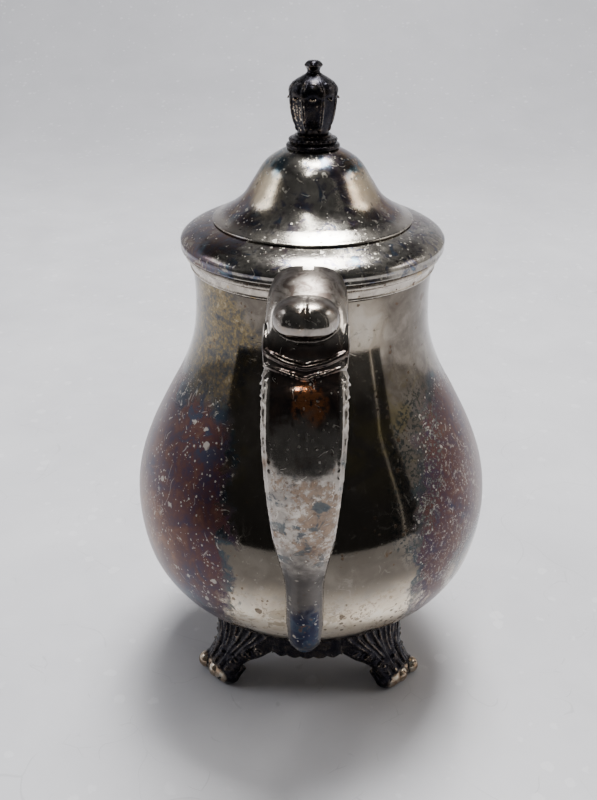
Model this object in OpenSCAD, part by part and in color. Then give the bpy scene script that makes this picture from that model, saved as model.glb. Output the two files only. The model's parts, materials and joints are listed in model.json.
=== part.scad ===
// Footed coffee pot: pear-shaped hollow body on four paw feet, hollow two-part handle,
// swan-neck spout and a bell-shaped hinged lid with a bud finial.
// Millimetres, +Z up. The pot's axis is the Z axis, the feet stand on z = 0,
// the handle points along -Y and the spout along +Y.

/* [Body] */
// Greatest radius of the belly
belly_r = 68.5; // [66:0.5:71]
// Height of the belly's widest ring
belly_z = 78; // [74:1:82]
// Radius of the neck
neck_r = 42.2; // [40.5:0.1:43]
// Thickness of the raised metal
wall = 1.2; // [1:0.1:1.6]
// Height of the top of the rim band
rim_z = 179.6; // [177:0.1:181]
// Radius of the mouth
mouth_r = 40.2; // [39.8:0.1:40.6]

/* [Lid] */
// Radius of the lid's edge
lid_r = 46.4; // [46:0.1:46.6]
// Thickness of the lid's metal
lid_wall = 1.2; // [0.9:0.1:1.5]
// Height of the top of the dome
dome_z = 213.6; // [211:0.1:215]
// Gap between the lid and the pot
lid_gap = 0.4; // [0.3:0.05:0.6]
// Overall height, to the tip of the finial
total_h = 241; // [238:0.5:244]

/* [Hinge] */
// Distance of the hinge axis behind the pot's axis
hinge_y = 50.5; // [50.2:0.1:51]
// Height of the hinge axis
hinge_z = 184.5; // [184:0.1:185]
// Radius of the hinge barrel
knuckle_r = 2.2; // [2:0.05:2.4]
// Radius of the hinge pin
pin_r = 0.9; // [0.7:0.05:1]
// Radial clearance of the pin in the lid's knuckle
pin_clearance = 0.05; // [0.02:0.01:0.09]
// Width of the lid's knuckle
lid_knuckle_w = 4; // [3.5:0.25:5]
// Width of the lug that joins that knuckle to the lid
lug_w = 2.4; // [2:0.1:3]
// Length of the whole barrel
barrel_l = 12; // [11:0.5:13]

/* [Handle and spout] */
// Reach of the handle from the pot's axis
reach = 92; // [91:0.5:93]
// Reach of the spout's tip from the pot's axis
spout_reach = 94.5; // [93:0.5:95]
// Wall of the hollow handle
handle_wall = 1.5; // [1.2:0.1:1.8]
// Wall of the spout
spout_wall = 1.3; // [1:0.1:1.6]

/* [Feet] */
// Direction of each paw, measured from the X axis
foot_angle = 36; // [34:0.5:40]
// Radius of a toe
toe_r = 3.6; // [3.2:0.1:4]
// Radius of the apron between the feet
apron_r = 40.5; // [39.5:0.5:41.5]
// Lowest height of the apron
apron_z = 21.5; // [20:0.5:23]

/* [Hidden] */

fine = 96;                  // segments of a full turn
curve_steps = 4;            // points drawn between two stations of an outline
side_steps = 10;            // points round half of a lofted section
far = 400;                  // larger than the whole pot
touch = 0.02;               // makes a cutter pass its face

neck_top = 173;
groove_z = 173.6;
rim_r = 45.2;
lid_edge_z = 183.4;
lid_low_z = rim_z + lid_gap;
bezel_r = 38.8;
bezel_low_z = 174;
bezel_top_z = 187;
nose_r = 3.8;               // round end of the handle's hood about the hinge axis
collar_r = 9.1;
stud_r = 1.6;
nut_r = 3.6;
spout_hole_r = 8.5;
spout_hole_z = 74;
sole_h = 2;
silver = [0.70, 0.69, 0.67];
dark_silver = [0.30, 0.29, 0.30];
bright_silver = [0.80, 0.79, 0.76];

// Body's outer outline as [radius, height], from the foot of the bowl to the neck
body_stations = [
    [30, 28.2],
    [39, 31.3],
    [48, 37.6],
    [56, 45.8],
    [62, 53.2],
    [belly_r - 2, 63],
    [belly_r, belly_z],
    [belly_r - 1.1, belly_z + 14],
    [62.8, 106],
    [55.8, 120],
    [48.3, 134],
    [43.5, 148],
    [neck_r, 162],
    [neck_r + 0.4, neck_top]
];

// Lid's outer outline as [radius, height], from the dome's crown to the step
dome_stations = [
    [0, dome_z],
    [8, dome_z - 0.4],
    [13, 211],
    [17, 207.8],
    [20.5, 202.4],
    [24.5, 196.6],
    [29.5, 192.6],
    [34, 190.8]
];
flange_stations = [
    [35, 188.9],
    [40, 187.4],
    [44, 185.4],
    [lid_r, lid_edge_z]
];

// Handle: [outer distance, outer height, inner distance, inner height, half width, squareness]
handle_stations = [
    [43, 188.2, 41, 171.5, 11, 2],
    [50.5, 188.2, 50, 171.5, 11.8, 2],
    [57, 187.3, 56.5, 172, 12.2, 2],
    [63, 184.7, 62, 171, 12, 2.1],
    [66.5, 184.1, 66, 169.5, 11, 2.2],
    [72, 186, 69, 168, 10.6, 2.3],
    [78.5, 184, 71, 166.5, 10.6, 2.4],
    [82.3, 177.5, 72, 164.5, 10.6, 2.4],
    [81, 171.5, 72.8, 162.5, 10.8, 2.4],
    [78, 168.6, 73.2, 160.5, 11, 2.4],
    [79.8, 166.4, 73.8, 158.5, 12, 2.4],
    [84.5, 160.5, 75.2, 153, 12.4, 2.4],
    [89, 150, 77.5, 144, 12.4, 2.4],
    [reach - 0.4, 138, 79.5, 134, 11.6, 2.4],
    [reach, 126, 80, 123.5, 10.6, 2.4],
    [90.2, 113, 79, 112, 9.3, 2.4],
    [86.5, 101, 76, 101.5, 7.4, 2.4],
    [82, 90, 71.5, 92, 6.1, 2.4],
    [78, 78, 67, 80, 6, 2.4],
    [75.6, 67, 65, 67.5, 5.8, 2.4],
    [74.4, 59.5, 64.5, 60.5, 4.6, 2.3],
    [72.6, 55.6, 65.5, 56.6, 2, 2.2]
];
// Where the cavity of the hollow grip starts and ends, counted in the drawn sections
cavity_from = 23;
cavity_to = 34;

// Spout: [front distance, front height, back distance, back height, half width]
spout_stations = [
    [52, 45, 48, 104, 15],
    [67, 50, 62, 98, 13.8],
    [79, 60, 69, 95, 12],
    [87, 76, 72, 98, 10.4],
    [89, 95, 73, 106, 9.2],
    [87.4, 113, 72.8, 117, 8.3],
    [85.2, 130, 72.5, 130.5, 7.6],
    [84.8, 145, 73, 142.5, 7.1],
    [86.4, 158.5, 75.2, 154.5, 6.8],
    [89.8, 170, 78.6, 168, 6.7],
    [spout_reach, 181, 82.5, 182.5, 7.2]
];

// Foot: [height, middle radius, half depth, half width along the arc, direction]
foot_stations = [
    [1, 44.6, 4.4, 9, foot_angle],
    [3.5, 44.9, 5, 9.6, foot_angle],
    [7, 43.8, 4.8, 9.6, foot_angle],
    [11, 41.6, 3.6, 10.6, foot_angle + 1],
    [15, 40.2, 2.7, 13.2, foot_angle + 2.5],
    [19, 39.4, 2.1, 17, foot_angle + 4],
    [24, 39, 1.9, 20, foot_angle + 5],
    [37, 39, 1.9, 20.4, foot_angle + 5]
];
// Toes: [radius of the middle, turn from the foot's direction]
toes = [[44.4, 8.6], [47, 0], [48.2, -8.6]];

function rev(v) = [for (i = [len(v) - 1 : -1 : 0]) v[i]];

// One point of a smooth curve through the stations p, between station i and the next
function between(p, i, t) =
    let(a = p[max(i - 1, 0)], b = p[i], c = p[i + 1], d = p[min(i + 2, len(p) - 1)])
    0.5 * (2 * b + (c - a) * t + (2 * a - 5 * b + 4 * c - d) * t * t
        + (3 * b - a - 3 * c + d) * t * t * t);

function smooth(p, n = curve_steps) = concat(
    [for (i = [0 : len(p) - 2], k = [0 : n - 1]) between(p, i, k / n)],
    [p[len(p) - 1]]);

// Outline moved by d along its left-hand normal
function shifted(p, d) = [for (i = [0 : len(p) - 1])
    let(v = p[min(i + 1, len(p) - 1)] - p[max(i - 1, 0)])
    p[i] + d * [-v[1], v[0]] / norm(v)];

// Half of a rounded section between an outer and an inner point; side is 1 or -1
function section(s, side, square, shrink = 0) =
    let(o = [-s[0], s[1]], i = [-s[2], s[3]],
        mid = (o + i) / 2,
        arm = (o - i) / 2,
        a = norm(arm) - shrink,
        u = arm / norm(arm),
        w = s[4] - shrink)
    [for (k = [0 : side_steps])
        let(t = -90 + 180 * k / side_steps,
            c = pow(max(cos(t), 0), 2 / square),
            q = sign(sin(t)) * pow(abs(sin(t)), 2 / square),
            m = mid + u * a * q)
        [side * w * c, m[0], m[1]]];

// Whole section made of its two halves
function ring(s, square, shrink = 0) =
    let(r = section(s, 1, square, shrink), l = section(s, -1, square, shrink))
    concat(r, [for (k = [side_steps - 1 : -1 : 1]) l[k]]);

// Solid through a list of sections with the same number of points
module loft(rings, flip = false) {
    n = len(rings[0]);
    m = len(rings);
    pts = [for (r = rings, p = r) p];
    sides = [for (i = [0 : m - 2], k = [0 : n - 1], half = [0, 1])
        let(a = i * n + k, b = i * n + (k + 1) % n, c = a + n, d = b + n)
        half == 0 ? [a, b, d] : [a, d, c]];
    start_cap = [for (k = [1 : n - 2]) [0, k + 1, k]];
    end_cap = [for (k = [1 : n - 2]) let(o = (m - 1) * n) [o, o + k, o + k + 1]];
    faces = concat(sides, start_cap, end_cap);
    polyhedron(pts, flip ? [for (f = faces) rev(f)] : faces);
}

module turned(outline) rotate_extrude($fn = fine) polygon(outline);

// Everything inside the body's and the rim's outer surface
module pot_envelope() {
    outline = smooth(body_stations);
    turned(concat([[0, body_stations[0][1]]], outline,
        [[rim_r, rim_z - 2], [rim_r, rim_z + touch], [0, rim_z + touch]]));
}

module across(r, l, x = 0) {
    translate([x - l / 2, -hinge_y, hinge_z])
        rotate([0, 90, 0])
            cylinder(r = r, h = l, $fn = 48);
}

module body_shell() {
    outer = smooth(body_stations);
    inner = shifted(outer, wall);
    bottom = body_stations[0][1];
    color(silver)
    difference() {
        turned(concat([[0, bottom]], outer, rev([for (p = inner) [p[0], max(p[1], bottom + wall)]]),
            [[0, bottom + wall]]));
        translate([0, belly_r - 25, spout_hole_z])
            rotate([-90, 0, 0])
                cylinder(r = spout_hole_r, h = 40, $fn = 48);
    }
}

module rim_band() {
    color(bright_silver)
    turned([
        [mouth_r, neck_top + touch],
        [neck_r + 0.4, neck_top + touch],
        [neck_r + 0.4, groove_z],
        [neck_r + 1.3, groove_z + 0.4],
        [neck_r + 1.9, groove_z + 2.2],
        [rim_r, rim_z - 2],
        [rim_r, rim_z - 0.5],
        [rim_r - 0.5, rim_z],
        [mouth_r, rim_z]
    ]);
}

module handle_half(side) {
    stations = smooth(handle_stations, 2);
    color(silver)
    difference() {
        loft([for (s = stations) section(s, side, s[5])], side > 0);
        loft([for (i = [cavity_from : cavity_to])
            ring(stations[i], stations[i][5], handle_wall)], true);
        pot_envelope();
        translate([0, 0, lid_low_z - 0.3])
            cylinder(r = lid_r + 0.4, h = 20, $fn = fine);
        difference() {
            translate([-far / 2, -hinge_y, hinge_z])
                cube([far, 20, 20]);
            across(nose_r, far);
        }
        across(knuckle_r + 0.3, barrel_l + 0.6);
        translate([-lug_w / 2 - 0.4, -hinge_y - 2.1, hinge_z - 2])
            cube([lug_w + 0.8, 20, 20]);
    }
}

module spout() {
    stations = smooth(spout_stations, 2);
    last = spout_stations[len(spout_stations) - 1];
    past = [last[0] + 0.5, last[1] + 4, last[2] + 0.2, last[3] + 4, last[4]];
    color(silver)
    mirror([0, 1, 0])
    difference() {
        loft([for (s = stations) ring(s, 2.2)]);
        loft([for (s = concat(stations, [past])) ring(s, 2.2, spout_wall)]);
        pot_envelope();
    }
}

// Point at radius r and angle a, measured from +X towards -Y
function polar(r, a) = [r * cos(a), -r * sin(a)];

// Rounded section of the foot, bent round the pot's axis
function foot_section(s) = [for (k = [0 : 2 * side_steps - 1])
    let(t = 180 * k / side_steps,
        depth = s[2] * sign(sin(t)) * pow(abs(sin(t)), 0.8),
        width = s[3] * sign(cos(t)) * pow(abs(cos(t)), 0.8),
        p = polar(s[1] + depth, s[4] + width / s[1] * 180 / PI))
    [p[0], p[1], s[0]]];

// Paw foot at the corner towards +X and -Y
module paw() {
    loft([for (s = smooth(foot_stations, 2)) foot_section(s)], true);
    for (toe = toes) {
        direction = foot_angle + toe[1];
        tip = polar(toe[0], direction);
        root = polar(toe[0] - 6, direction);
        hull() {
            translate([tip[0], tip[1], toe_r + 0.3]) sphere(r = toe_r, $fn = 16);
            translate([root[0], root[1], toe_r + 2.4]) sphere(r = toe_r, $fn = 16);
        }
    }
    linear_extrude(sole_h)
        for (toe = toes, back = [0, 4])
            translate(polar(toe[0] - back, foot_angle + toe[1]))
                circle(r = toe_r - 0.5, $fn = 32);
}

module foot(x_side, y_side) {
    color(dark_silver)
    difference() {
        mirror([x_side > 0 ? 0 : 1, 0, 0]) mirror([0, y_side > 0 ? 1 : 0, 0]) paw();
        pot_envelope();
    }
}

// Curved panel between two feet, centred on the direction middle and spanning half_span each way
module apron(middle, half_span) {
    scallops = 3;
    step = 2 * half_span / scallops;
    color(dark_silver)
    difference() {
        rotate(middle - half_span)
            rotate_extrude(angle = 2 * half_span, $fn = fine)
                translate([apron_r - 2, apron_z])
                    square([2, 18]);
        pot_envelope();
        for (k = [0 : scallops])
            rotate(middle - half_span + k * step)
                translate([apron_r - 12, 0, apron_z - 0.6])
                    rotate([0, 90, 0])
                        cylinder(r = 2.4, h = 20, $fn = 24);
    }
}

// Half the angle that the panel on the handle's side and the one at the side take up
foot_half_angle = 20.4 / 39 * 180 / PI;
handle_span = 90 - foot_angle - 5 - foot_half_angle;
side_span = foot_angle + 5 - foot_half_angle;

module pot_knuckle(side) {
    l = (barrel_l - lid_knuckle_w) / 2 - 0.3;
    x = side * (lid_knuckle_w / 2 + 0.3 + l / 2);
    color(silver)
    difference() {
        across(knuckle_r, l, x);
        across(pin_r, far);
    }
}

module hinge_pin() {
    color(bright_silver) across(pin_r, barrel_l);
}

// Outer outline of the lid, from the dome's crown to the lower edge
lid_outline = concat(smooth(dome_stations), smooth(flange_stations), [[lid_r, lid_low_z + 1]]);

// The lid's metal, before the stud's hole
module lid_metal() {
    inner = shifted(lid_outline, -lid_wall);
    turned(concat(lid_outline,
        [[lid_r, lid_low_z], [lid_r - lid_wall, lid_low_z]],
        rev([for (p = inner) if (p[0] < lid_r - lid_wall && p[0] > 0.01) p]),
        [[0, dome_z - lid_wall]]));
}

module lid_shell() {
    color(silver)
    difference() {
        lid_metal();
        cylinder(r = stud_r, h = far, $fn = 32);
    }
}

module lid_bezel() {
    color(silver)
    difference() {
        turned([
            [bezel_r - 1, bezel_low_z],
            [bezel_r, bezel_low_z],
            [bezel_r, bezel_top_z],
            [bezel_r - 1, bezel_top_z]
        ]);
        lid_inner_cut();
    }
}

// Everything from the lid's inner surface upwards
module lid_inner_cut() {
    inner = [for (p = shifted(lid_outline, -lid_wall)) if (p[0] > 0.01) p];
    turned(concat([[0, dome_z - lid_wall]], inner, [[lid_r + 5, lid_low_z + 1], [lid_r + 5, 260], [0, 260]]));
}

module lid_hinge_lug() {
    color(silver)
    difference() {
        union() {
            across(knuckle_r, lid_knuckle_w);
            translate([-lug_w / 2, -hinge_y, hinge_z - 1.6])
                cube([lug_w, hinge_y - lid_r + 0.4, 1.6]);
        }
        across(pin_r + pin_clearance, far);
        lid_metal();
    }
}

module finial_collar() {
    color(dark_silver)
    difference() {
        turned([
            [0, dome_z - 2],
            [collar_r - 0.8, dome_z - 2],
            [collar_r, dome_z - 0.6],
            [collar_r, dome_z + 0.8],
            [collar_r - 1.4, dome_z + 1.6],
            [collar_r - 0.8, dome_z + 2.6],
            [collar_r - 2.6, dome_z + 4],
            [0, dome_z + 4]
        ]);
        pot_lid_crown();
        cylinder(r = stud_r, h = far, $fn = 32);
    }
}

// Everything below the lid's outer surface
module pot_lid_crown() {
    turned(concat([[0, 150]], [[lid_r, 150]], rev(lid_outline)));
}

module finial_bud() {
    z0 = dome_z + 4;
    bud = smooth([
        [5.4, z0],
        [5.9, z0 + 1.6],
        [7.4, z0 + 5],
        [8.4, z0 + 10],
        [8.5, z0 + 14],
        [6.4, z0 + 17.2],
        [3.2, z0 + 18.6],
        [2.2, z0 + 19.8],
        [3.1, z0 + 21.4],
        [2.6, total_h - 0.9],
        [1, total_h]
    ]);
    color(dark_silver)
    difference() {
        turned(concat([[0, z0]], bud, [[0, total_h]]));
        translate([0, 0, z0 - touch])
            cylinder(r = stud_r, h = 8, $fn = 32);
    }
}

module finial_stud() {
    color(silver)
    translate([0, 0, dome_z - 8])
        cylinder(r = stud_r, h = 18, $fn = 32);
}

module finial_washer() {
    color(silver)
    translate([0, 0, dome_z - lid_wall - 1])
        difference() {
            cylinder(r = nut_r + 0.9, h = 0.9, $fn = 48);
            translate([0, 0, -touch]) cylinder(r = stud_r + 0.15, h = 2, $fn = 32);
        }
}

module finial_nut() {
    color(silver)
    translate([0, 0, dome_z - lid_wall - 3.8])
        difference() {
            cylinder(r = nut_r, h = 2.6, $fn = 6);
            translate([0, 0, -touch]) cylinder(r = stud_r, h = 4, $fn = 32);
        }
}

body_shell();
rim_band();
spout();
handle_half(-1);  // handle_left_half
handle_half(1);  // handle_right_half
foot(-1, -1);  // foot_handle_left
foot(1, -1);  // foot_handle_right
foot(-1, 1);  // foot_spout_left
foot(1, 1);  // foot_spout_right
apron(-90, handle_span);  // apron_handle_side
apron(90, handle_span);  // apron_spout_side
apron(180, side_span);  // apron_left
apron(0, side_span);  // apron_right
pot_knuckle(-1);  // hinge_knuckle_left
pot_knuckle(1);  // hinge_knuckle_right
hinge_pin();
lid_shell();
lid_bezel();
lid_hinge_lug();
finial_collar();
finial_bud();
finial_stud();
finial_washer();
finial_nut();
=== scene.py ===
"""Looks of a footed silver coffee pot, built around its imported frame.

Shapes are worked out in millimetres in the pot's own frame (+Z up, handle towards -Y, spout towards +Y)
and made in metres. Each piece rides on a body of the frame and stands for the nodes that it replaces.
"""
import json
import math

import bmesh
import bpy
import numpy as np
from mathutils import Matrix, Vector, noise


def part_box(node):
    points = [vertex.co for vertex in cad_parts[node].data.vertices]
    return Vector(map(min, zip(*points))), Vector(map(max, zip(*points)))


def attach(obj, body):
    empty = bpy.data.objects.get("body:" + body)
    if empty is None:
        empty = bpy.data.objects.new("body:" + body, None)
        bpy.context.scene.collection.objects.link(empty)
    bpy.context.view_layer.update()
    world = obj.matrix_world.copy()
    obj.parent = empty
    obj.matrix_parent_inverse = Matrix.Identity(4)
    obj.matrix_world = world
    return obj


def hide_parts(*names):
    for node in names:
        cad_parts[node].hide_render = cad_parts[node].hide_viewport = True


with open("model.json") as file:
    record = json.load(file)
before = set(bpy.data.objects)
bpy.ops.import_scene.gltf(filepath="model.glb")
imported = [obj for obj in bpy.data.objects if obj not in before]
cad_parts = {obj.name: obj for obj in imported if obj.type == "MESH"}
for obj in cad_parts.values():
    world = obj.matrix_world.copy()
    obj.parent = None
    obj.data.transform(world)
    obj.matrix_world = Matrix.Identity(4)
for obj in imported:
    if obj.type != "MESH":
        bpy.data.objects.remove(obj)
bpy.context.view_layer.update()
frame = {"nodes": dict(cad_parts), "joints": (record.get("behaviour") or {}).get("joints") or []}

MM = 0.001

# ---------------------------------------------------------------- sizes, in millimetres


def node_box(node):
    """Corners of a node of the frame, in millimetres."""
    low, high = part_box(node)
    return [c / MM for c in low], [c / MM for c in high]


BELLY_R = node_box("body_shell")[1][0]
LID_R = node_box("lid_shell")[1][0]
LID_LOW = node_box("lid_shell")[0][2]
DOME_Z = node_box("lid_shell")[1][2]
RIM_R = node_box("rim_band")[1][0]
RIM_Z = node_box("rim_band")[1][2]
NECK_TOP = node_box("rim_band")[0][2]
TOTAL_H = node_box("finial_bud")[1][2]
HANDLE_REACH = -node_box("handle_left_half")[0][1]
SPOUT_REACH = node_box("spout")[1][1]
APRON_Z = node_box("apron_handle_side")[0][2]
APRON_R = -node_box("apron_handle_side")[0][1]
HINGE = [c / MM for c in frame["joints"][0]["pos_m"]]

WALL = 1.2
MOUTH_R = 40.2
BELLY_Z = 78.0
NECK_R = 42.2
GROOVE_Z = 173.6
FOOT_ANGLE = 36.0
TOE_R = 3.6
TURNS = 288                 # columns of a turned surface
CUTTER_TURNS = 192
HANDLE_GRAIN, CAST_GRAIN, FINIAL_GRAIN = 0.42, 0.38, 0.2    # finest detail that each casting keeps
SPOUT_WALL, SPOUT_SQUARENESS = 1.3, 2.2
SPOUT_HOLE_Z, SPOUT_HOLE_R = 74, 8.5                        # hole through the bowl, into the spout
BARREL_R, BARREL_HALF = 2.5, 6.3                            # room for the hinge's barrel in the hood
FLOOR_CLEARANCE = 0.12

BODY = [
    (30, 28.2), (39, 31.3), (48, 37.6), (56, 45.8), (62, 53.2), (BELLY_R - 2, 63), (BELLY_R, BELLY_Z),
    (BELLY_R - 1.1, 92), (62.8, 106), (55.8, 120), (48.3, 134), (43.5, 148), (NECK_R, 162),
    (NECK_R + 0.4, NECK_TOP),
]
DOME = [
    (0, DOME_Z), (8, DOME_Z - 0.4), (13, 211), (17, 207.8), (20.5, 202.4), (24.5, 196.6), (29.5, 192.6),
    (34, 190.8),
]

# Handle: outer distance and height, inner distance and height, half width, squareness
HANDLE = [
    (43, 188.2, 41, 171.5, 11, 2), (50.5, 188.2, 50, 171.5, 11.8, 2), (57, 187.3, 56.5, 172, 12.2, 2),
    (63, 184.7, 62, 171, 12.2, 2), (67, 182, 66, 169.5, 12.2, 2.1), (70.6, 178.6, 69, 168, 12, 2.2),
    (73.4, 175, 71, 166.5, 11.9, 2.3), (75.6, 171.9, 72, 164.5, 11.9, 2.4),
    (77.6, 169.2, 72.8, 162.5, 12, 2.4),
    (79.2, 166.8, 73.2, 160.5, 12.1, 2.4), (81.4, 164, 73.8, 158.5, 12.2, 2.4),
    (84.5, 160.5, 75.2, 153, 12.4, 2.4), (89, 150, 77.5, 144, 12.4, 2.4),
    (HANDLE_REACH - 0.4, 138, 79.5, 134, 11.6, 2.4), (HANDLE_REACH - 0.15, 126, 80, 123.5, 10.6, 2.4),
    (90.2, 113, 79, 112, 9.3, 2.4), (86.5, 101, 76, 101.5, 7.4, 2.4), (82, 90, 71.5, 92, 6.3, 2.4),
    (78, 78, 67, 80, 6.2, 2.4), (75.6, 67, 65, 67.5, 6.2, 2.4), (74.4, 60.2, 64.7, 61, 5.6, 2.3),
    (73.2, 57, 65.2, 58, 4.1, 2.3), (72.3, 55.7, 65.8, 56.6, 2, 2.2),
]
# Spout: front distance and height, back distance and height, half width
SPOUT = [
    (52, 45, 48, 104, 15), (67, 50, 62, 98, 13.8), (79, 60, 69, 95, 12), (87, 76, 72, 98, 10.4),
    (89, 95, 73, 106, 9.2), (87.4, 113, 72.8, 117, 8.3), (85.2, 130, 72.5, 130.5, 7.6),
    (84.8, 145, 73, 142.5, 7.1), (86.4, 158.5, 75.2, 154.5, 6.8), (89.8, 170, 78.6, 168, 6.7),
    (SPOUT_REACH, 181, 82.5, 182.5, 7.2),
]
# Foot: height, middle radius, half depth, half width along the arc, direction
FOOT = [
    (0.8, 44.6, 4.2, 8.6, FOOT_ANGLE), (3.5, 44.9, 4.8, 9.4, FOOT_ANGLE), (7, 43.8, 4.5, 9.4, FOOT_ANGLE),
    (11, 41.6, 3.4, 10.4, FOOT_ANGLE + 1), (15, 40.2, 2.5, 13, FOOT_ANGLE + 2.5),
    (19, 39.4, 2, 17, FOOT_ANGLE + 4), (24, 39, 1.8, 20, FOOT_ANGLE + 5),
    (33, 39, 1.8, 20.4, FOOT_ANGLE + 5),
]
TOES = [(44.4, 8.6), (47, 0), (48.2, -8.6)]


# ---------------------------------------------------------------- curves


def between(points, i, t):
    """Point of the smooth curve through the points, between point i and the next."""
    last = len(points) - 1
    a, b, c, d = (np.array(points[min(max(k, 0), last)], float) for k in (i - 1, i, i + 1, i + 2))
    square, cube = 2 * a - 5 * b + 4 * c - d, 3 * b - a - 3 * c + d
    return 0.5 * (2 * b + (c - a) * t + square * t ** 2 + cube * t ** 3)


def at(points, s):
    """Point of the smooth curve at position s, counted in its stations."""
    i = min(int(s), len(points) - 2)
    return between(points, i, s - i)


def smooth(points, steps):
    rows = [between(points, i, k / steps) for i in range(len(points) - 1) for k in range(steps)]
    return np.array(rows + [np.array(points[-1], float)])


def shifted(line, distance):
    """The outline moved along its left-hand normal."""
    v = np.gradient(line, axis=0)
    normal = np.stack([-v[:, 1], v[:, 0]], 1) / np.linalg.norm(v, axis=1)[:, None]
    return line + distance * normal


def signed_power(x, p):
    return np.sign(x) * np.abs(x) ** p


def ease(x):
    x = np.clip(x, 0, 1)
    return x * x * (3 - 2 * x)


def bump(x, centre, width):
    """Smooth hump of height 1 round a centre."""
    return np.exp(-((x - centre) / width) ** 2)


# ---------------------------------------------------------------- meshes


def shape(verts, faces, name="shape"):
    """An object from points in millimetres, not yet part of the pot."""
    mesh = bpy.data.meshes.new(name)
    mesh.from_pydata((np.asarray(verts) * MM).tolist(), [], [tuple(int(k) for k in f) for f in faces])
    bm = bmesh.new()
    bm.from_mesh(mesh)
    bmesh.ops.remove_doubles(bm, verts=bm.verts, dist=1e-7)
    bmesh.ops.dissolve_degenerate(bm, dist=1e-7, edges=bm.edges)
    bmesh.ops.recalc_face_normals(bm, faces=bm.faces)
    bm.to_mesh(mesh)
    bm.free()
    obj = bpy.data.objects.new(name, mesh)
    bpy.context.scene.collection.objects.link(obj)
    return obj


def settle(obj):
    """Gives the piece the mesh that its modifiers make."""
    graph = bpy.context.evaluated_depsgraph_get()
    made = bpy.data.meshes.new_from_object(obj.evaluated_get(graph), depsgraph=graph)
    obj.modifiers.clear()
    old, obj.data = obj.data, made
    bpy.data.meshes.remove(old)


def cast(obj, grain, passes):
    """Merges a piece's overlapping forms into one skin with soft junctions."""
    skin = obj.modifiers.new("skin", "REMESH")
    skin.mode = "VOXEL"
    skin.voxel_size = grain * MM
    soften = obj.modifiers.new("soften", "SMOOTH")
    soften.factor = 0.5
    soften.iterations = passes
    settle(obj)


def cut(obj, *cutters):
    for cutter in cutters:
        away = obj.modifiers.new("cut", "BOOLEAN")
        away.operation = "DIFFERENCE"
        away.solver = "EXACT"
        away.object = cutter
    settle(obj)


def hand_over(obj, name, body, material, replaces=(), crease=35):
    """Makes the shape a piece of the pot, in place of CAD nodes."""
    obj.name = obj.data.name = name
    obj.data.materials.clear()
    obj.data.materials.append(material)
    obj.data.polygons.foreach_set("use_smooth", [True] * len(obj.data.polygons))
    obj.data.set_sharp_from_angle(angle=math.radians(crease))
    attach(obj, body)
    if replaces:
        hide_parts(*replaces)
    return obj


def grid_faces(rows, cols, wrap_rows=False, wrap_cols=True):
    """Quads of a grid of points stored row by row."""
    faces = []
    for i in range(rows if wrap_rows else rows - 1):
        for k in range(cols if wrap_cols else cols - 1):
            here, above = i * cols, (i + 1) % rows * cols
            after = (k + 1) % cols
            faces.append((here + k, here + after, above + after, above + k))
    return faces


def turned(outline, relief=None, turns=TURNS):
    """Points and quads of a closed outline of (radius, height) turned about the pot's axis.

    relief(angle, radius, height) gives what is added to the radius.
    """
    angle = np.linspace(0, 2 * math.pi, turns, endpoint=False)
    rows = []
    for r, z in outline:
        radius = np.full(turns, float(r))
        if relief is not None:
            radius = radius + relief(angle, r, z)
        rows.append(np.stack([radius * np.cos(angle), radius * np.sin(angle), np.full(turns, z)], 1))
    return np.concatenate(rows), grid_faces(len(rows), turns, wrap_rows=True)


def section(station, angles, squareness, shrink=0.0, out=-1):
    """Rounded section between an outer and an inner point; out is the side of the pot it lies on."""
    o = np.array([out * station[0], station[1]])
    i = np.array([out * station[2], station[3]])
    mid, arm = (o + i) / 2, (o - i) / 2
    length = np.linalg.norm(arm)
    across = (station[4] - shrink) * signed_power(np.cos(angles), 2 / squareness)
    along = (length - shrink) * signed_power(np.sin(angles), 2 / squareness)
    yz = mid + along[:, None] * arm / length
    return np.stack([across, yz[:, 0], yz[:, 1]], 1)


def lofted(rings):
    """Closed skin over rings of points, with a flat cap on each end."""
    rings = [np.asarray(r) for r in rings]
    cols = len(rings[0])
    verts = np.concatenate(rings)
    last = (len(rings) - 1) * cols
    ends = [tuple(range(0, cols)), tuple(range(last, last + cols))]
    return verts, grid_faces(len(rings), cols) + ends


def tube(path, radius, sides=10):
    """Points and faces of a closed tube along a path; radius is one number or one for each point."""
    path = np.asarray(path, float)
    radius = np.broadcast_to(radius, (len(path),))
    tangent = np.gradient(path, axis=0)
    tangent /= np.linalg.norm(tangent, axis=1)[:, None] + 1e-12
    side = np.cross(tangent[0], [0.3, 0.2, 0.9])
    angles = np.linspace(0, 2 * math.pi, sides, endpoint=False)
    rings = []
    for p, t, r in zip(path, tangent, radius):
        side = side - t * side.dot(t)
        side /= np.linalg.norm(side)
        up = np.cross(t, side)
        rings.append(p + r * (np.outer(np.cos(angles), side) + np.outer(np.sin(angles), up)))
    return lofted(rings)


def joined(*parts):
    """One list of points and faces from several."""
    verts, faces, start = [], [], 0
    for points, sides in parts:
        verts.append(np.asarray(points))
        faces += [tuple(int(k) + start for k in face) for face in sides]
        start += len(points)
    return np.concatenate(verts), faces


def ellipsoid(centre, axes, radii, power=2.0, rows=40, cols=64):
    """Rounded solid with semi-axes radii along the three unit vectors axes."""
    lat = np.linspace(-math.pi / 2, math.pi / 2, rows)
    lon = np.linspace(0, 2 * math.pi, cols, endpoint=False)
    e = 2 / power
    centre, axes = np.asarray(centre, float), np.asarray(axes, float)
    rings = []
    for a in lat:
        x = radii[0] * signed_power(np.cos(a), e) * signed_power(np.cos(lon), e)
        y = radii[1] * signed_power(np.cos(a), e) * signed_power(np.sin(lon), e)
        z = np.full(cols, radii[2] * signed_power(np.sin(a), e))
        rings.append(centre + np.outer(x, axes[0]) + np.outer(y, axes[1]) + np.outer(z, axes[2]))
    return lofted(rings)


# ---------------------------------------------------------------- materials


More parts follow.
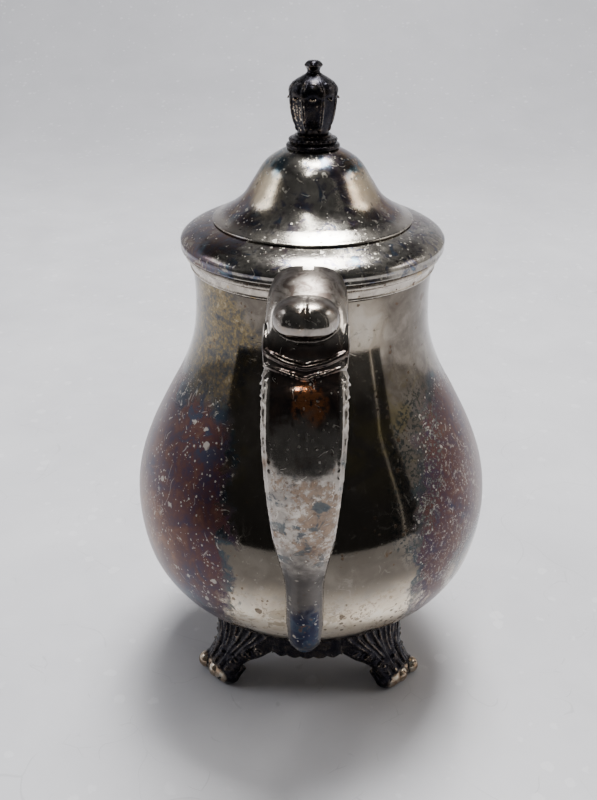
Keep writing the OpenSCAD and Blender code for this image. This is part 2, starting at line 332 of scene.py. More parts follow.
class Field:
    """A number that varies over a surface. Sums and products of fields make the nodes for them."""

    def __init__(self, nodes, socket):
        self.nodes, self.socket = nodes, socket

    def __add__(self, other):
        return self.nodes.maths("ADD", self, other)

    def __radd__(self, other):
        return self.nodes.maths("ADD", other, self)

    def __sub__(self, other):
        return self.nodes.maths("SUBTRACT", self, other)

    def __rsub__(self, other):
        return self.nodes.maths("SUBTRACT", other, self)

    def __mul__(self, other):
        return self.nodes.maths("MULTIPLY", self, other)


class Nodes:
    """Small builder of shader nodes; colour is worked out from object coordinates in millimetres."""

    def __init__(self, name):
        self.material = bpy.data.materials.new(name)
        self.material.use_nodes = True
        self.tree = self.material.node_tree
        self.shader = self.tree.nodes["Principled BSDF"]
        where = self.tree.nodes.new("ShaderNodeTexCoord")
        self.point = self.vector("SCALE", where.outputs["Object"], scale=1 / MM)
        self.x, self.y, self.z = self.parts(self.point)
        self.colour = None

    def add(self, kind, **values):
        node = self.tree.nodes.new("ShaderNode" + kind)
        for key, value in values.items():
            setattr(node, key, value)
        return node

    def feed(self, socket, value):
        if isinstance(value, Field):
            value = value.socket
        if isinstance(value, bpy.types.NodeSocket):
            self.tree.links.new(value, socket)
        elif value is not None:
            socket.default_value = value

    def vector(self, operation, a, b=None, scale=None):
        node = self.add("VectorMath", operation=operation)
        self.feed(node.inputs[0], a)
        if b is not None:
            self.feed(node.inputs[1], b)
        if scale is not None:
            node.inputs["Scale"].default_value = scale
        return node.outputs[0]

    def parts(self, vector):
        node = self.add("SeparateXYZ")
        self.feed(node.inputs[0], vector)
        return [Field(self, socket) for socket in node.outputs]

    def maths(self, operation, a, b=0.0, c=0.0, clamp=False):
        node = self.add("Math", operation=operation, use_clamp=clamp)
        for socket, value in zip(node.inputs, (a, b, c)):
            self.feed(socket, value)
        return Field(self, node.outputs[0])

    def most(self, a, b):
        return self.maths("MAXIMUM", a, b)

    def step(self, value, low, high, to_low=0.0, to_high=1.0):
        """Smooth change from to_low at low to to_high at high."""
        node = self.add("MapRange", interpolation_type="SMOOTHSTEP")
        for socket, v in zip(node.inputs, (value, low, high, to_low, to_high)):
            self.feed(socket, v)
        return Field(self, node.outputs[0])

    def hump(self, value, centre, width):
        """Smooth hump of height 1 and half width width."""
        distance = self.maths("ABSOLUTE", value - centre)
        return self.step(distance, 0.0, width, 1.0, 0.0)

    def spot(self, a, a0, a_width, b, b0, b_width):
        """Soft oval patch about (a0, b0)."""
        p = self.maths("POWER", self.maths("DIVIDE", a - a0, a_width), 2.0)
        q = self.maths("POWER", self.maths("DIVIDE", b - b0, b_width), 2.0)
        return self.step(p + q, 0.0, 1.0, 1.0, 0.0)

    def texture(self, kind, where, scale, **values):
        node = self.add("Tex" + kind, **values)
        self.feed(node.inputs["Vector"], where)
        node.inputs["Scale"].default_value = scale
        return node

    def noise(self, size, detail=4.0, rough=0.55, warp=0.0, lift=0.0):
        """Noise from 0 to 1 whose blobs are about size millimetres; lift picks another part of it."""
        where = self.vector("ADD", self.point, (lift, lift * 0.7, -lift * 1.3)) if lift else self.point
        node = self.texture("Noise", where, 1 / size)
        node.inputs["Detail"].default_value = detail
        node.inputs["Roughness"].default_value = rough
        node.inputs["Distortion"].default_value = warp
        return Field(self, node.outputs["Fac"])

    def bent(self, scale, reach):
        """The point of the surface, pushed about by up to reach millimetres."""
        push = self.texture("Noise", self.point, scale).outputs["Color"]
        return self.vector("ADD", self.point, self.vector("SCALE", push, scale=reach))

    def ramp(self, value, *stops):
        """Colour ramp from (position, (r, g, b)) stops."""
        node = self.add("ValToRGB")
        points = node.color_ramp.elements
        while len(points) < len(stops):
            points.new(0.5)
        for point, (position, colour) in zip(points, stops):
            point.position = position
            point.color = (*colour, 1)
        self.feed(node.inputs[0], value)
        return node.outputs[0]

    def mix(self, amount, a, b):
        node = self.add("Mix", data_type="RGBA")
        self.feed(node.inputs[0], amount)
        for socket, value in ((node.inputs[6], a), (node.inputs[7], b)):
            self.feed(socket, (*value, 1) if isinstance(value, tuple) else value)
        return node.outputs[2]

    def coat(self, amount, colour):
        """Lay a colour over what is there."""
        self.colour = self.mix(amount, self.colour, colour)

    def specks(self, size, share, patch_size=18, lift=0.0):
        """Round and oval blots of many sizes, thicker in some places; share is 0 to 1 or a field."""
        where = self.vector("ADD", self.bent(0.9 / size, size * 0.9), (lift, lift * 0.7, -lift))
        node = self.texture("Voronoi", where, 0.5 / size)
        random = self.parts(node.outputs["Color"])
        patch = self.noise(patch_size, 3, 0.6, lift=lift + 31)
        here = (patch - 0.5) * 2.2 + share
        keep = self.step(here - random[1], 0.0, 0.08)
        radius = 0.08 + self.maths("POWER", random[0], 2.5) * 0.4
        return keep * self.step(node.outputs["Distance"] - radius, -0.05, 0.03, 1.0, 0.0)

    def scratches(self, size, thin=0.02, stretch=(1, 1, 0.35), lift=0.0, keep=0.6):
        """Short thin curved lines."""
        where = self.vector("ADD", self.bent(1 / (size * 1.6), size * 2.5), (lift, lift, lift))
        where = self.vector("MULTIPLY", where, stretch)
        edge = self.texture("Voronoi", where, 1 / size, feature="DISTANCE_TO_EDGE").outputs["Distance"]
        line = self.step(edge, 0.0, thin, 1.0, 0.0)
        return line * self.step(self.noise(size * 0.5, 1, lift=lift + 7), keep, keep + 0.05)

    def finish(self, roughness, height=None, depth=0.1, metallic=1.0):
        self.feed(self.shader.inputs["Base Color"], self.colour)
        self.feed(self.shader.inputs["Roughness"], roughness)
        self.feed(self.shader.inputs["Metallic"], metallic)
        if height is not None:
            bump_node = self.add("Bump")
            bump_node.inputs["Strength"].default_value = 1.0
            bump_node.inputs["Distance"].default_value = depth * MM
            self.feed(bump_node.inputs["Height"], height)
            self.tree.links.new(bump_node.outputs["Normal"], self.shader.inputs["Normal"])
        return self.material


# Colours of a tarnish film on silver as it thickens, from clean metal to a dull grey
SILVER = (0.80, 0.775, 0.72)
CREAM = (0.74, 0.68, 0.56)
STRAW = (0.3, 0.2, 0.1)
RUST = (0.17, 0.075, 0.036)
MAROON = (0.066, 0.024, 0.023)
PURPLE = (0.04, 0.02, 0.037)
NAVY = (0.016, 0.018, 0.046)
TEAL = (0.025, 0.06, 0.075)
FOG = (0.15, 0.155, 0.155)
FILM = (
    (0.0, SILVER), (0.16, CREAM), (0.27, STRAW), (0.38, RUST), (0.5, MAROON), (0.62, PURPLE), (0.74, NAVY),
    (0.86, TEAL), (1.0, FOG),
)


def body_silver():
    """Raised silver with heavy tarnish on both flanks, spotted low front and a grey neck."""
    n = Nodes("body_silver")
    x, y, z = n.x, n.y, n.z
    broad = n.noise(24, 4, 0.6, 0.8)
    middle = n.noise(8, 5, 0.62, 0.9, lift=13)
    small = n.noise(2.4, 4, 0.65, 0.6, lift=29)
    wobble = (broad - 0.5) * 36 + (middle - 0.5) * 30
    ragged = wobble + (small - 0.5) * 14

    # Clean metal: greyer on the neck and above the belly, cream on the low front
    low = n.step(z + wobble * 0.3, 82, 62)
    base = n.ramp(broad * 0.5 + middle * 0.5, (0.34, (0.085, 0.071, 0.057)), (0.5, (0.145, 0.125, 0.103)),
                  (0.66, (0.25, 0.22, 0.183)))
    clean = n.ramp(middle, (0.3, (0.68, 0.57, 0.42)), (0.5, (0.92, 0.8, 0.62)), (0.7, (0.98, 0.9, 0.75)))
    pale = n.spot(x, 17, 11, z, 158, 22) * n.step(y, 10, -10)
    n.colour = n.mix(n.most(low, pale * 0.35), base, clean)
    # Darker band across the front of the belly: partly tarnish, partly a painted reflection of the dark room in
    # front of the pot
    tarnish_and_dark_reflection = n.hump(z + wobble * 0.4, 103, 42) * (n.step(y, 5, -25) * n.step(x, 38, 27))
    n.coat(tarnish_and_dark_reflection * 0.85, (0.085, 0.075, 0.06))
    olive = n.step(n.noise(13, 4, 0.65, 1.0, lift=47), 0.5, 0.62)
    olive = olive * (n.hump(z, 128, 26) * n.step(x, -30, -22))
    n.coat(olive * 0.6, (0.17, 0.14, 0.06))

    # The film is thick in a belt round the belly, away from the middle of the handle's side
    slant = z - x * 0.13
    side = n.maths("ABSOLUTE", x - 6) + ragged * 0.55
    belt = n.step(slant + ragged * 0.5, 42, 51) * n.step(z + ragged * 0.7, 126, 144, 1.0, 0.0)
    film = belt * n.most(n.step(side, 30, 37), n.step(y + wobble, -4, 12) * 0.95)
    clearing = n.spot(x + ragged * 0.4, 64, 17, z, 60, 25) * n.step(y, 10, -10)
    film = film * (1.0 - clearing * 0.85)
    grain = n.noise(1.5, 4, 0.75, lift=191)
    tone = (middle - 0.5) * 0.75 + (small - 0.5) * 0.3
    orange = n.spot(x, -61, 20, z, 80, 20)
    violet = n.spot(x + wobble * 0.3, -43, 14, z, 54, 17)
    shade = 0.52 + tone - orange * 0.24 + violet * 0.2
    dark = n.ramp(n.maths("ADD", shade, 0.0, clamp=True), (0.08, STRAW), (0.22, RUST),
                  (0.36, (0.1, 0.042, 0.028)), (0.48, MAROON), (0.6, PURPLE), (0.72, NAVY), (0.86, TEAL),
                  (0.97, FOG))
    n.coat(film, dark)
    # Mauve on the outer flanks: a painted reflection of the bright room, tinted like the film
    mauve_side_reflection = n.step(n.maths("ABSOLUTE", x), 52, 64) * n.step(z, 140, 110) * n.step(broad, 0.35, 0.6)
    n.coat(mauve_side_reflection * 0.6, (0.17, 0.115, 0.11))
    # Its edge runs through blue and teal in places
    edge = n.hump(film, 0.45, 0.5) * n.step(n.noise(13, 3, lift=51), 0.4, 0.52)
    n.coat(edge * 0.8, n.ramp(small, (0.4, (0.012, 0.017, 0.036)), (0.6, (0.03, 0.062, 0.07))))

    # Yellow-brown speckle and a blue patch on the left of the neck
    neck = n.spot(x + wobble * 0.4, -36, 24, z, 155, 28) * n.step(y, 10, -10)
    neck = n.step(neck, 0.05, 0.6)
    grime = n.ramp(n.noise(1.5, 5, 0.8, 0.2, lift=151) * 0.6 + middle * 0.4, (0.38, (0.04, 0.05, 0.06)),
                   (0.47, (0.1, 0.095, 0.085)), (0.54, (0.2, 0.145, 0.06)), (0.62, (0.34, 0.3, 0.23)))
    n.coat(neck * 0.85, grime)
    n.coat(neck * 0.8 * n.specks(1.2, 0.55, lift=3), (0.09, 0.075, 0.05))
    blue = n.spot(x, -38, 14, z, 128, 18) * n.step(middle, 0.47, 0.56)
    n.coat(blue * 0.8, (0.022, 0.036, 0.065))

    # Grey-green grain beside the right flank's film
    beside = n.spot(x + wobble * 0.3, 37, 13, z, 112, 36) * n.step(y, 10, -10)
    n.coat(n.step(grain, 0.5, 0.56) * n.step(beside, 0.05, 0.7), (0.045, 0.05, 0.048))

    # Brown pits and blots on the clean metal
    clear = n.step(film, 0.6, 0.2)
    dusty = n.step(grain, 0.52, 0.58) * n.step(n.noise(14, 3, 0.6, lift=201), 0.46, 0.56) * (low * clear)
    n.coat(dusty * 0.8, (0.17, 0.11, 0.065))
    pits = n.most(n.specks(0.9, 0.1 + low * 0.4, 12, lift=5), n.specks(1.8, low * 0.14, 20, lift=15))
    crust = n.step(n.noise(4.5, 6, 0.85, 1.2, lift=171), 0.6, 0.62)
    crust = crust * n.step(n.noise(20, 2, lift=181), 0.46, 0.56)
    pits = n.most(pits, crust * low) * clear
    n.coat(pits * 0.8, (0.1, 0.065, 0.04))
    stains = n.step(n.noise(11, 5, 0.7, 1.0, lift=91), 0.55, 0.6) * low * clear
    n.coat(stains * 0.5, (0.25, 0.18, 0.09))
    blot = n.step(n.noise(7, 5, 0.7, 1.2, lift=111), 0.6, 0.63) * n.step(z, 60, 45) * clear
    n.coat(blot * 0.75, (0.12, 0.14, 0.18))

    # Pale specks, rubs and scratches that show bare metal in the tarnish
    flaked = n.step(n.noise(6, 6, 0.8, 1.6, lift=131) + (broad - 0.5) * 0.35, 0.63, 0.66)
    dust = film * 0.3 + n.hump(film, 0.5, 0.5) * 0.35
    bare = n.most(n.specks(0.5, 0.1 + dust, 12, lift=9), n.specks(1.7, 0.02 + film * 0.12, 20, lift=17))
    bare = n.most(bare, flaked * 0.8)
    frost = n.step(grain, 0.55, 0.6) * (n.step(x, 15, 48) * n.step(broad, 0.35, 0.6))
    bare = n.most(bare, frost * film * 0.7)
    bare = n.most(bare, n.scratches(9, 0.025, lift=3))
    bare = n.most(bare, n.scratches(16, 0.016, (1, 1, 0.8), lift=11) * 0.8)
    n.coat(bare * n.step(film, 0.15, 0.5, 0.16, 0.8), (0.4, 0.37, 0.325))

    rough = 0.09 + film * 0.2 + n.most(bare, pits) * 0.15
    rough = rough + (small - 0.5) * 0.04
    metal = 1.0 - film * 0.35
    height = small * 0.3 + (pits * -0.6 + bare * 0.25)
    height = height + n.noise(0.5, 2, lift=71) * 0.08
    return n.finish(rough, height, 0.025, metal)


def lid_silver():
    """Grey silver with blue and brown mottling and clean spots."""
    n = Nodes("lid_silver")
    x, y, z = n.x, n.y, n.z
    broad = n.noise(14, 4, 0.6, 0.7, lift=3)
    middle = n.noise(5, 5, 0.65, 0.9, lift=19)
    small = n.noise(1.6, 4, 0.6, 0.5, lift=37)
    grey = n.ramp(broad * 0.55 + middle * 0.45, (0.36, (0.17, 0.16, 0.145)), (0.5, (0.31, 0.29, 0.255)),
                  (0.64, (0.5, 0.465, 0.4)))
    tone = (middle - 0.5) * 1.3 + ((broad - 0.5) * 0.7 + 0.5)
    film = n.ramp(n.maths("ADD", tone, 0.0, clamp=True), (0.1, (0.4, 0.34, 0.22)), (0.25, (0.26, 0.17, 0.08)),
                  (0.4, (0.13, 0.06, 0.04)), (0.55, (0.07, 0.045, 0.08)), (0.7, (0.04, 0.07, 0.13)),
                  (0.85, (0.06, 0.16, 0.2)), (1.0, (0.24, 0.27, 0.28)))
    place = n.most(n.spot(x, -32, 20, y, -14, 34), n.spot(x, 20, 24, y, 4, 30))
    amount = n.step(middle + place * 0.2, 0.5, 0.62) * 0.82
    n.colour = n.mix(amount, grey, film)
    haze = n.step(n.noise(7, 6, 0.8, 1.5, lift=81), 0.5, 0.56) * n.step(z, 197, 190)
    n.coat(haze * 0.5, (0.13, 0.115, 0.1))
    # Warm pale patches left and right on the dome are painted reflections of the side windows; above them lies a
    # blue-green tint
    sides = n.most(n.spot(x, -14, 8, y, -10, 15), n.spot(x, 16, 8, y, -8, 15))
    warm = sides * n.step(z, 191, 196) * n.step(z, 209, 205)
    n.coat(warm * 0.7, (0.66, 0.54, 0.36))
    cool = sides * n.step(z, 204, 208) * n.step(middle, 0.44, 0.54)
    n.coat(cool * 0.7, (0.09, 0.17, 0.2))
    # Pale ring on the step: partly worn metal, partly a painted highlight
    n.coat(n.hump(z, 190.6, 2.2) * 0.7, (0.62, 0.57, 0.49))
    bare = n.most(n.specks(0.5, 0.3, 11, lift=2), n.specks(1.3, 0.06, 14, lift=8))
    bare = n.most(bare, n.scratches(7, 0.02, lift=5))
    flaked = n.step(n.noise(4, 5, 0.75, 1.0, lift=61), 0.62, 0.65)
    bare = n.most(bare, flaked * n.spot(x, 26, 22, y, -6, 30))
    n.coat(bare * 0.7, (0.45, 0.42, 0.36))
    dark = n.specks(0.8, 0.3, 10, lift=23)
    n.coat(dark * 0.7, (0.06, 0.05, 0.045))
    # Grime and painted shade under the step's lip
    line = n.hump(z, 189.1, 0.25) * n.step(n.maths("SQRT", x * x + y * y), 35.6, 34.8)
    n.coat(line * 0.6, (0.05, 0.035, 0.025))
    rough = 0.17 + (bare * 0.15 + (small - 0.4) * 0.2)
    height = small * 0.4 + (bare * 0.3 + dark * -0.5)
    return n.finish(rough, height, 0.02)


def rim_silver():
    n = Nodes("rim_silver")
    middle = n.noise(6, 5, 0.6, 0.7, lift=5)
    small = n.noise(1.6, 4, 0.6, 0.4, lift=21)
    n.colour = n.ramp(middle, (0.3, (0.24, 0.21, 0.175)), (0.5, (0.42, 0.375, 0.32)),
                      (0.7, (0.64, 0.58, 0.5)))
    brass = n.specks(2, 0.4, 14, lift=4)
    n.coat(brass * 0.6, (0.4, 0.27, 0.1))
    dark = n.specks(1.0, 0.36, 12, lift=15)
    n.coat(dark * 0.8, (0.09, 0.055, 0.04))
    # Black that has settled in the groove and under the band
    groove = n.most(n.hump(n.z, GROOVE_Z - 0.2, 0.5), n.step(n.z, RIM_Z - 1.0, RIM_Z - 0.2))
    n.coat(groove * 0.8, (0.05, 0.035, 0.03))
    rough = 0.2 + (dark * 0.2 + small * 0.12)
    return n.finish(rough, small * 0.4 + dark * -0.6, 0.03)


def handle_silver():
    """Hood and knuckle are grey and clean, the grip dark above, stained silver in the middle, blue below."""
    n = Nodes("handle_silver")
    x, y, z = n.x, n.y, n.z
    broad = n.noise(11, 4, 0.6, 0.9, lift=7)
    middle = n.noise(4.2, 5, 0.62, 0.9, lift=23)
    small = n.noise(1.4, 4, 0.6, 0.5, lift=41)
    wobble = (broad - 0.5) * 22 + (middle - 0.5) * 12
    high = z + wobble
    wide = n.maths("ABSOLUTE", x)
    front = n.step(y, -74, -79) * n.step(wide, 10.9, 9.6)
    clean = n.ramp(broad * 0.6 + middle * 0.4, (0.36, (0.2, 0.18, 0.16)), (0.5, (0.33, 0.3, 0.265)),
                   (0.64, (0.5, 0.46, 0.4)))
    warm = n.step(z, 177, 181) * n.step(middle, 0.5, 0.62)
    clean = n.mix(warm * 0.45, clean, (0.3, 0.2, 0.13))
    # Dark film on the upper grip, painted shade under the knuckle, with a rust patch
    upper = n.step(high, 149, 156) * n.step(z, 176, 173) * front
    shade_under_knuckle = n.hump(z, 171.2, 5.2) * n.step(y, -70, -73)
    dark = n.ramp(middle, (0.3, (0.022, 0.019, 0.021)), (0.5, (0.045, 0.032, 0.028)),
                  (0.7, (0.09, 0.055, 0.04)))
    rust = n.spot(x + wobble * 0.3, 1, 6.5, z, 159, 8) * n.step(n.noise(2.6, 5, 0.75, lift=211), 0.4, 0.52)
    dark = n.mix(n.step(rust, 0.1, 0.6), dark, (0.34, 0.12, 0.04))
    n.colour = n.mix(n.most(upper, shade_under_knuckle) * 0.94, clean, dark)
    # Tan, blue and teal stains half way down
    belt = n.step(high, 100, 108) * n.step(high, 146, 138)
    grain = n.noise(1.6, 5, 0.75, 0.3, lift=221)
    patch = (n.noise(9, 4, 0.65, 0.4, lift=61) - 0.5) * 1.6 + (grain - 0.5) * 1.3
    tan = n.step(patch, -0.06, 0.16) * belt
    n.coat(tan * 0.75, n.ramp(grain, (0.4, (0.07, 0.04, 0.028)), (0.6, (0.2, 0.125, 0.075))))
    patch = (n.noise(8, 4, 0.6, 0.4, lift=83) - 0.5) * 1.8 + (grain - 0.5) * 0.5
    blue = n.step(patch, 0.08, 0.22) * belt
    tint = n.ramp(middle, (0.35, (0.034, 0.038, 0.05)), (0.5, (0.045, 0.07, 0.082)),
                  (0.65, (0.09, 0.105, 0.11)))
    n.coat(blue * 0.8, tint)
    # Dull grey above the tail, then blue between bright rims
    dull = n.step(high, 116, 92) * n.step(wide, 8, 6)
    n.coat(dull * 0.85, (0.066, 0.057, 0.052))
    tail = n.step(high, 84, 74) * n.step(wide, 5.3, 4.5)
    deep = n.ramp(middle, (0.3, (0.006, 0.007, 0.018)), (0.5, (0.013, 0.017, 0.045)),
                  (0.62, (0.025, 0.045, 0.07)), (0.7, (0.12, 0.055, 0.03)))
    n.coat(tail * 0.94, deep)
    bare = n.most(n.specks(0.5, 0.16, 9, lift=2), n.scratches(7, 0.02, lift=5))
    n.coat(bare * 0.55, (0.56, 0.53, 0.47))
    spots = n.specks(0.8, 0.3, 9, lift=33)
    n.coat(spots * 0.65, (0.1, 0.07, 0.05))
    # Black left in the hollows, metal rubbed bright on the raised edges
    hollow = n.add("AmbientOcclusion", samples=6)
    hollow.inputs["Distance"].default_value = 1.6 * MM
    n.coat(n.step(hollow.outputs["AO"], 0.35, 0.85, 0.85, 0.0), (0.02, 0.017, 0.016))
    edge = n.step(n.add("NewGeometry").outputs["Pointiness"], 0.525, 0.57)
    rubbed = edge * (n.step(z, 174, 168) * n.step(wide, 0.6, 1.2))
    # The hood is darkened with brown mottling: partly tarnish, partly painted shade that tones down the overhead
    # lamp's highlight
    hood = n.step(z, 179, 184) * n.step(y, -79, -74)
    n.coat(hood * n.step(middle, 0.36, 0.6, 0.55, 0.95), (0.05, 0.038, 0.033))
    n.coat(rubbed * 0.7, (0.46, 0.41, 0.34))
    rough = 0.13 + (bare * 0.18 + (small - 0.4) * 0.18)
    rough = rough + hood * 0.2
    height = small * 0.4 + (bare * 0.2 + spots * -0.4)
    return n.finish(rough, height, 0.025)


def plain_silver(name, lift):
    """Grey silver with mild mottling, for the spout and the pieces under the lid."""
    n = Nodes(name)
    broad = n.noise(16, 4, 0.6, 0.8, lift=lift)
    middle = n.noise(6, 5, 0.62, 0.9, lift=lift + 11)
    small = n.noise(1.8, 4, 0.6, 0.5, lift=lift + 23)
    n.colour = n.ramp(broad, (0.3, (0.2, 0.18, 0.155)), (0.5, (0.33, 0.3, 0.26)), (0.7, (0.5, 0.46, 0.4)))
    tone = (middle - 0.5) * 1.2 + 0.5
    film = n.ramp(n.maths("ADD", tone, 0.0, clamp=True), *FILM)
    n.coat(n.step(middle, 0.5, 0.64) * 0.5, film)
    bare = n.most(n.specks(0.7, 0.3, 9, lift=lift + 2), n.scratches(8, 0.02, lift=lift + 5))
    n.coat(bare * 0.6, (0.5, 0.47, 0.41))
    dark = n.specks(0.7, 0.35, 9, lift=lift + 31)
    n.coat(dark * 0.6, (0.11, 0.085, 0.07))
    rough = 0.2 + (bare * 0.2 + (small - 0.4) * 0.2)
    return n.finish(rough, small * 0.4 + dark * -0.5, 0.03)


def oxidised(name, lift, low_bright=False):
    """Cast silver blackened in its hollows, with rubbed high spots."""
    n = Nodes(name)
    middle = n.noise(4, 5, 0.6, 0.8, lift=lift)
    small = n.noise(1.1, 4, 0.6, 0.5, lift=lift + 17)
    base = n.ramp(middle, (0.3, (0.008, 0.008, 0.012)), (0.5, (0.018, 0.017, 0.021)),
                  (0.72, (0.05, 0.041, 0.035)))
    shape_in = n.add("AmbientOcclusion", samples=6)
    shape_in.inputs["Distance"].default_value = 1.4 * MM
    edge = n.add("NewGeometry").outputs["Pointiness"]
    rubbed = n.step(edge, 0.515, 0.575) * n.step(small, 0.36, 0.6)
    # Fronts of the toes rubbed bright: partly worn metal, partly a painted highlight
    if low_bright:
        toe = n.step(n.z, 8.0, 6.4) * n.step(middle, 0.36, 0.44)
        out = n.maths("SQRT", n.x * n.x + n.y * n.y)
        rubbed = n.most(rubbed, toe * (n.step(out, 47.6, 48.8) * n.step(edge, 0.485, 0.505)))
    worn = n.ramp(n.noise(2.2, 3, 0.5, lift=lift + 41), (0.35, (0.4, 0.27, 0.17)), (0.55, (0.6, 0.5, 0.38)),
                  (0.7, (0.74, 0.68, 0.58)))
    n.colour = n.mix(rubbed * 0.8, base, worn)
    n.coat(n.step(shape_in.outputs["AO"], 0.3, 0.8, 0.8, 0.0), (0.012, 0.012, 0.015))
    rough = 0.27 + (small - 0.5) * 0.2 - rubbed * 0.08
    return n.finish(rough, small + middle * 0.5, 0.06)


def worn_metal(name, colour_a, colour_b, rough_at, lift):
    """Small fittings: two shades of one metal with grime."""
    n = Nodes(name)
    middle = n.noise(1.8, 4, 0.6, 0.6, lift=lift)
    small = n.noise(0.5, 3, 0.6, 0.3, lift=lift + 9)
    n.colour = n.mix(n.step(middle, 0.4, 0.6), colour_a, colour_b)
    n.coat(n.step(small, 0.56, 0.66) * 0.6, (0.07, 0.055, 0.04))
    rough = rough_at + (small - 0.5) * 0.25
    return n.finish(rough, small, 0.02)


BODY_SILVER = body_silver()
LID_SILVER = lid_silver()
RIM_SILVER = rim_silver()
HANDLE_SILVER = handle_silver()
SPOUT_SILVER = plain_silver("spout_silver", 5)
INNER_SILVER = plain_silver("inner_silver", 43)
FOOT_SILVER = oxidised("foot_silver", 5, low_bright=True)
FINIAL_SILVER = oxidised("finial_silver", 33)
STEEL = worn_metal("hinge_steel", (0.1, 0.09, 0.08), (0.25, 0.23, 0.2), 0.38, 3)
BRASS = worn_metal("stud_brass", (0.42, 0.28, 0.1), (0.62, 0.44, 0.19), 0.32, 13)


# ---------------------------------------------------------------- body, rim and lid

ENVELOPE = [(0.001, BODY[0][1])] + smooth(BODY, 4).tolist() + [
    (RIM_R, RIM_Z - 2), (RIM_R, RIM_Z + 0.02), (0.001, RIM_Z + 0.02),
]


def cutter(verts, faces):
    obj = shape(verts, faces, "cutter")
    obj.hide_render = True
    return obj


def rod(start, end, radius, sides=48):
    """Cylinder between two points."""
    return tube([start, end], radius, sides)


def brick(low, high):
    """Box between two corners."""
    verts = [(x, y, z) for x in (low[0], high[0]) for y in (low[1], high[1]) for z in (low[2], high[2])]
    return np.array(verts, float), [(0, 1, 3, 2), (4, 6, 7, 5), (0, 4, 5, 1), (2, 3, 7, 6), (0, 2, 6, 4),
                                    (1, 5, 7, 3)]


def dents(angle, r, z):
    """Faint waves of hand-raised metal; they only go inward, so the pot keeps its size."""
    if r < 25:
        return np.zeros(len(angle))
    wave = [noise.noise(Vector((r * math.cos(a), r * math.sin(a), z)) / 17.0) for a in angle]
    return -0.10 * (1 + np.array(wave))


def make_body():
    outer = smooth(BODY, 7)
    bottom = BODY[0][1]
    inner = shifted(outer, WALL)
    inner[:, 1] = np.maximum(inner[:, 1], bottom + WALL)
    outline = [(0.001, bottom), (15, bottom)] + outer.tolist() + inner[::-1].tolist()
    outline += [(15, bottom + WALL), (0.001, bottom + WALL)]
    body = shape(*turned(outline, dents))
    hole = cutter(*rod((0, 43.5, SPOUT_HOLE_Z), (0, 83.5, SPOUT_HOLE_Z), SPOUT_HOLE_R))
    cut(body, hole)
    bpy.data.objects.remove(hole)
    return hand_over(body, "bowl", "pot", BODY_SILVER, ["body_shell"])


def make_rim():
    """Rim band: groove, hollow moulding and a rolled lip."""
    outline = smooth([
        (NECK_R + 0.4, NECK_TOP + 0.1), (NECK_R + 0.35, GROOVE_Z - 0.3), (NECK_R + 0.4, GROOVE_Z),
    ], 3).tolist()
    outline += smooth([
        (NECK_R + 1.15, GROOVE_Z + 0.05), (NECK_R + 1.35, GROOVE_Z + 0.4), (NECK_R + 1.2, GROOVE_Z + 0.8),
    ], 4).tolist()
    outline += smooth([
        (NECK_R + 1.1, GROOVE_Z + 0.95), (NECK_R + 1.5, 175.8), (NECK_R + 2.2, 177.2), (RIM_R - 0.1, 177.9),
        (RIM_R, 178.5), (RIM_R - 0.1, 179.1), (RIM_R - 0.5, 179.5), (RIM_R - 1, RIM_Z),
    ], 4).tolist()
    outline += smooth([
        (MOUTH_R + 0.6, RIM_Z), (MOUTH_R + 0.15,
                                 RIM_Z - 0.2), (MOUTH_R, RIM_Z - 0.7), (MOUTH_R, NECK_TOP + 0.1),
    ], 4).tolist()
    rim = shape(*turned(outline))
    return hand_over(rim, "rim", "pot", RIM_SILVER, ["rim_band"])


def lid_outline():
    """Outer outline of the lid from the crown to the lower edge, with the rolled step and its undercut."""
    line = smooth(DOME[:-1], 7)[:-1].tolist()
    line += smooth([
        (29.5, 192.6), (32.2, 191.1), (33.5, 190.45), (34.4, 190.05), (34.9, 189.75), (35, 189.45),
        (34.85, 189.2), (34.6, 189.08), (34.55, 188.98), (34.7, 188.93),
    ], 4).tolist()
    line += smooth([
        (35.2, 188.85), (37.5, 188.2), (40, 187.4), (42.2, 186.4), (44, 185.4), (45.4, 184.3), (46.1, 183.5),
        (LID_R, 182.8), (LID_R, 182.1), (LID_R - 0.12, 181.6), (LID_R - 0.1, 181), (LID_R - 0.06,
                                                                                    LID_LOW + 0.3),
        (LID_R - 0.3, LID_LOW),
    ], 4).tolist()
    return line


def make_lid():
    outer = lid_outline()
    inner = shifted(smooth(DOME[1:], 5), -WALL).tolist()
    inner += shifted(smooth([(34.9, 188.9), (40, 187.4), (44, 185.4), (46.2, 183.2)], 4), -WALL).tolist()
    inner = [p for p in inner if p[0] < LID_R - WALL - 0.1]
    outline = [(1.6, DOME_Z - 0.02)] + outer[2:] + [(LID_R - WALL, LID_LOW), (LID_R - WALL, 182)]
    outline += inner[::-1] + [(1.6, DOME_Z - WALL)]

    def waves(angle, r, z):
        if r < 10 or r > 44:
            return np.zeros(len(angle))
        wave = [noise.noise(Vector((r * math.cos(a), r * math.sin(a), z)) / 13.0) for a in angle]
        return -0.05 * (1 + np.array(wave))

    lid = shape(*turned(outline, waves))
    hand_over(lid, "lid", "lid", LID_SILVER, ["lid_shell"])

    low, high = node_box("lid_bezel")
    radius, top = high[0], 186.9
    foot = low[2]
    ring = smooth([(radius - 1, foot + 0.3), (radius - 0.7, foot), (radius - 0.3, foot), (radius, foot + 0.4)], 3)
    flare = [(radius, top - 3), (radius - 0.02, top), (radius - 1, top), (radius - 1, top - 3)]
    bezel = shape(*turned(ring.tolist() + flare))
    hand_over(bezel, "bezel", "lid", INNER_SILVER, ["lid_bezel"])


# ---------------------------------------------------------------- spout


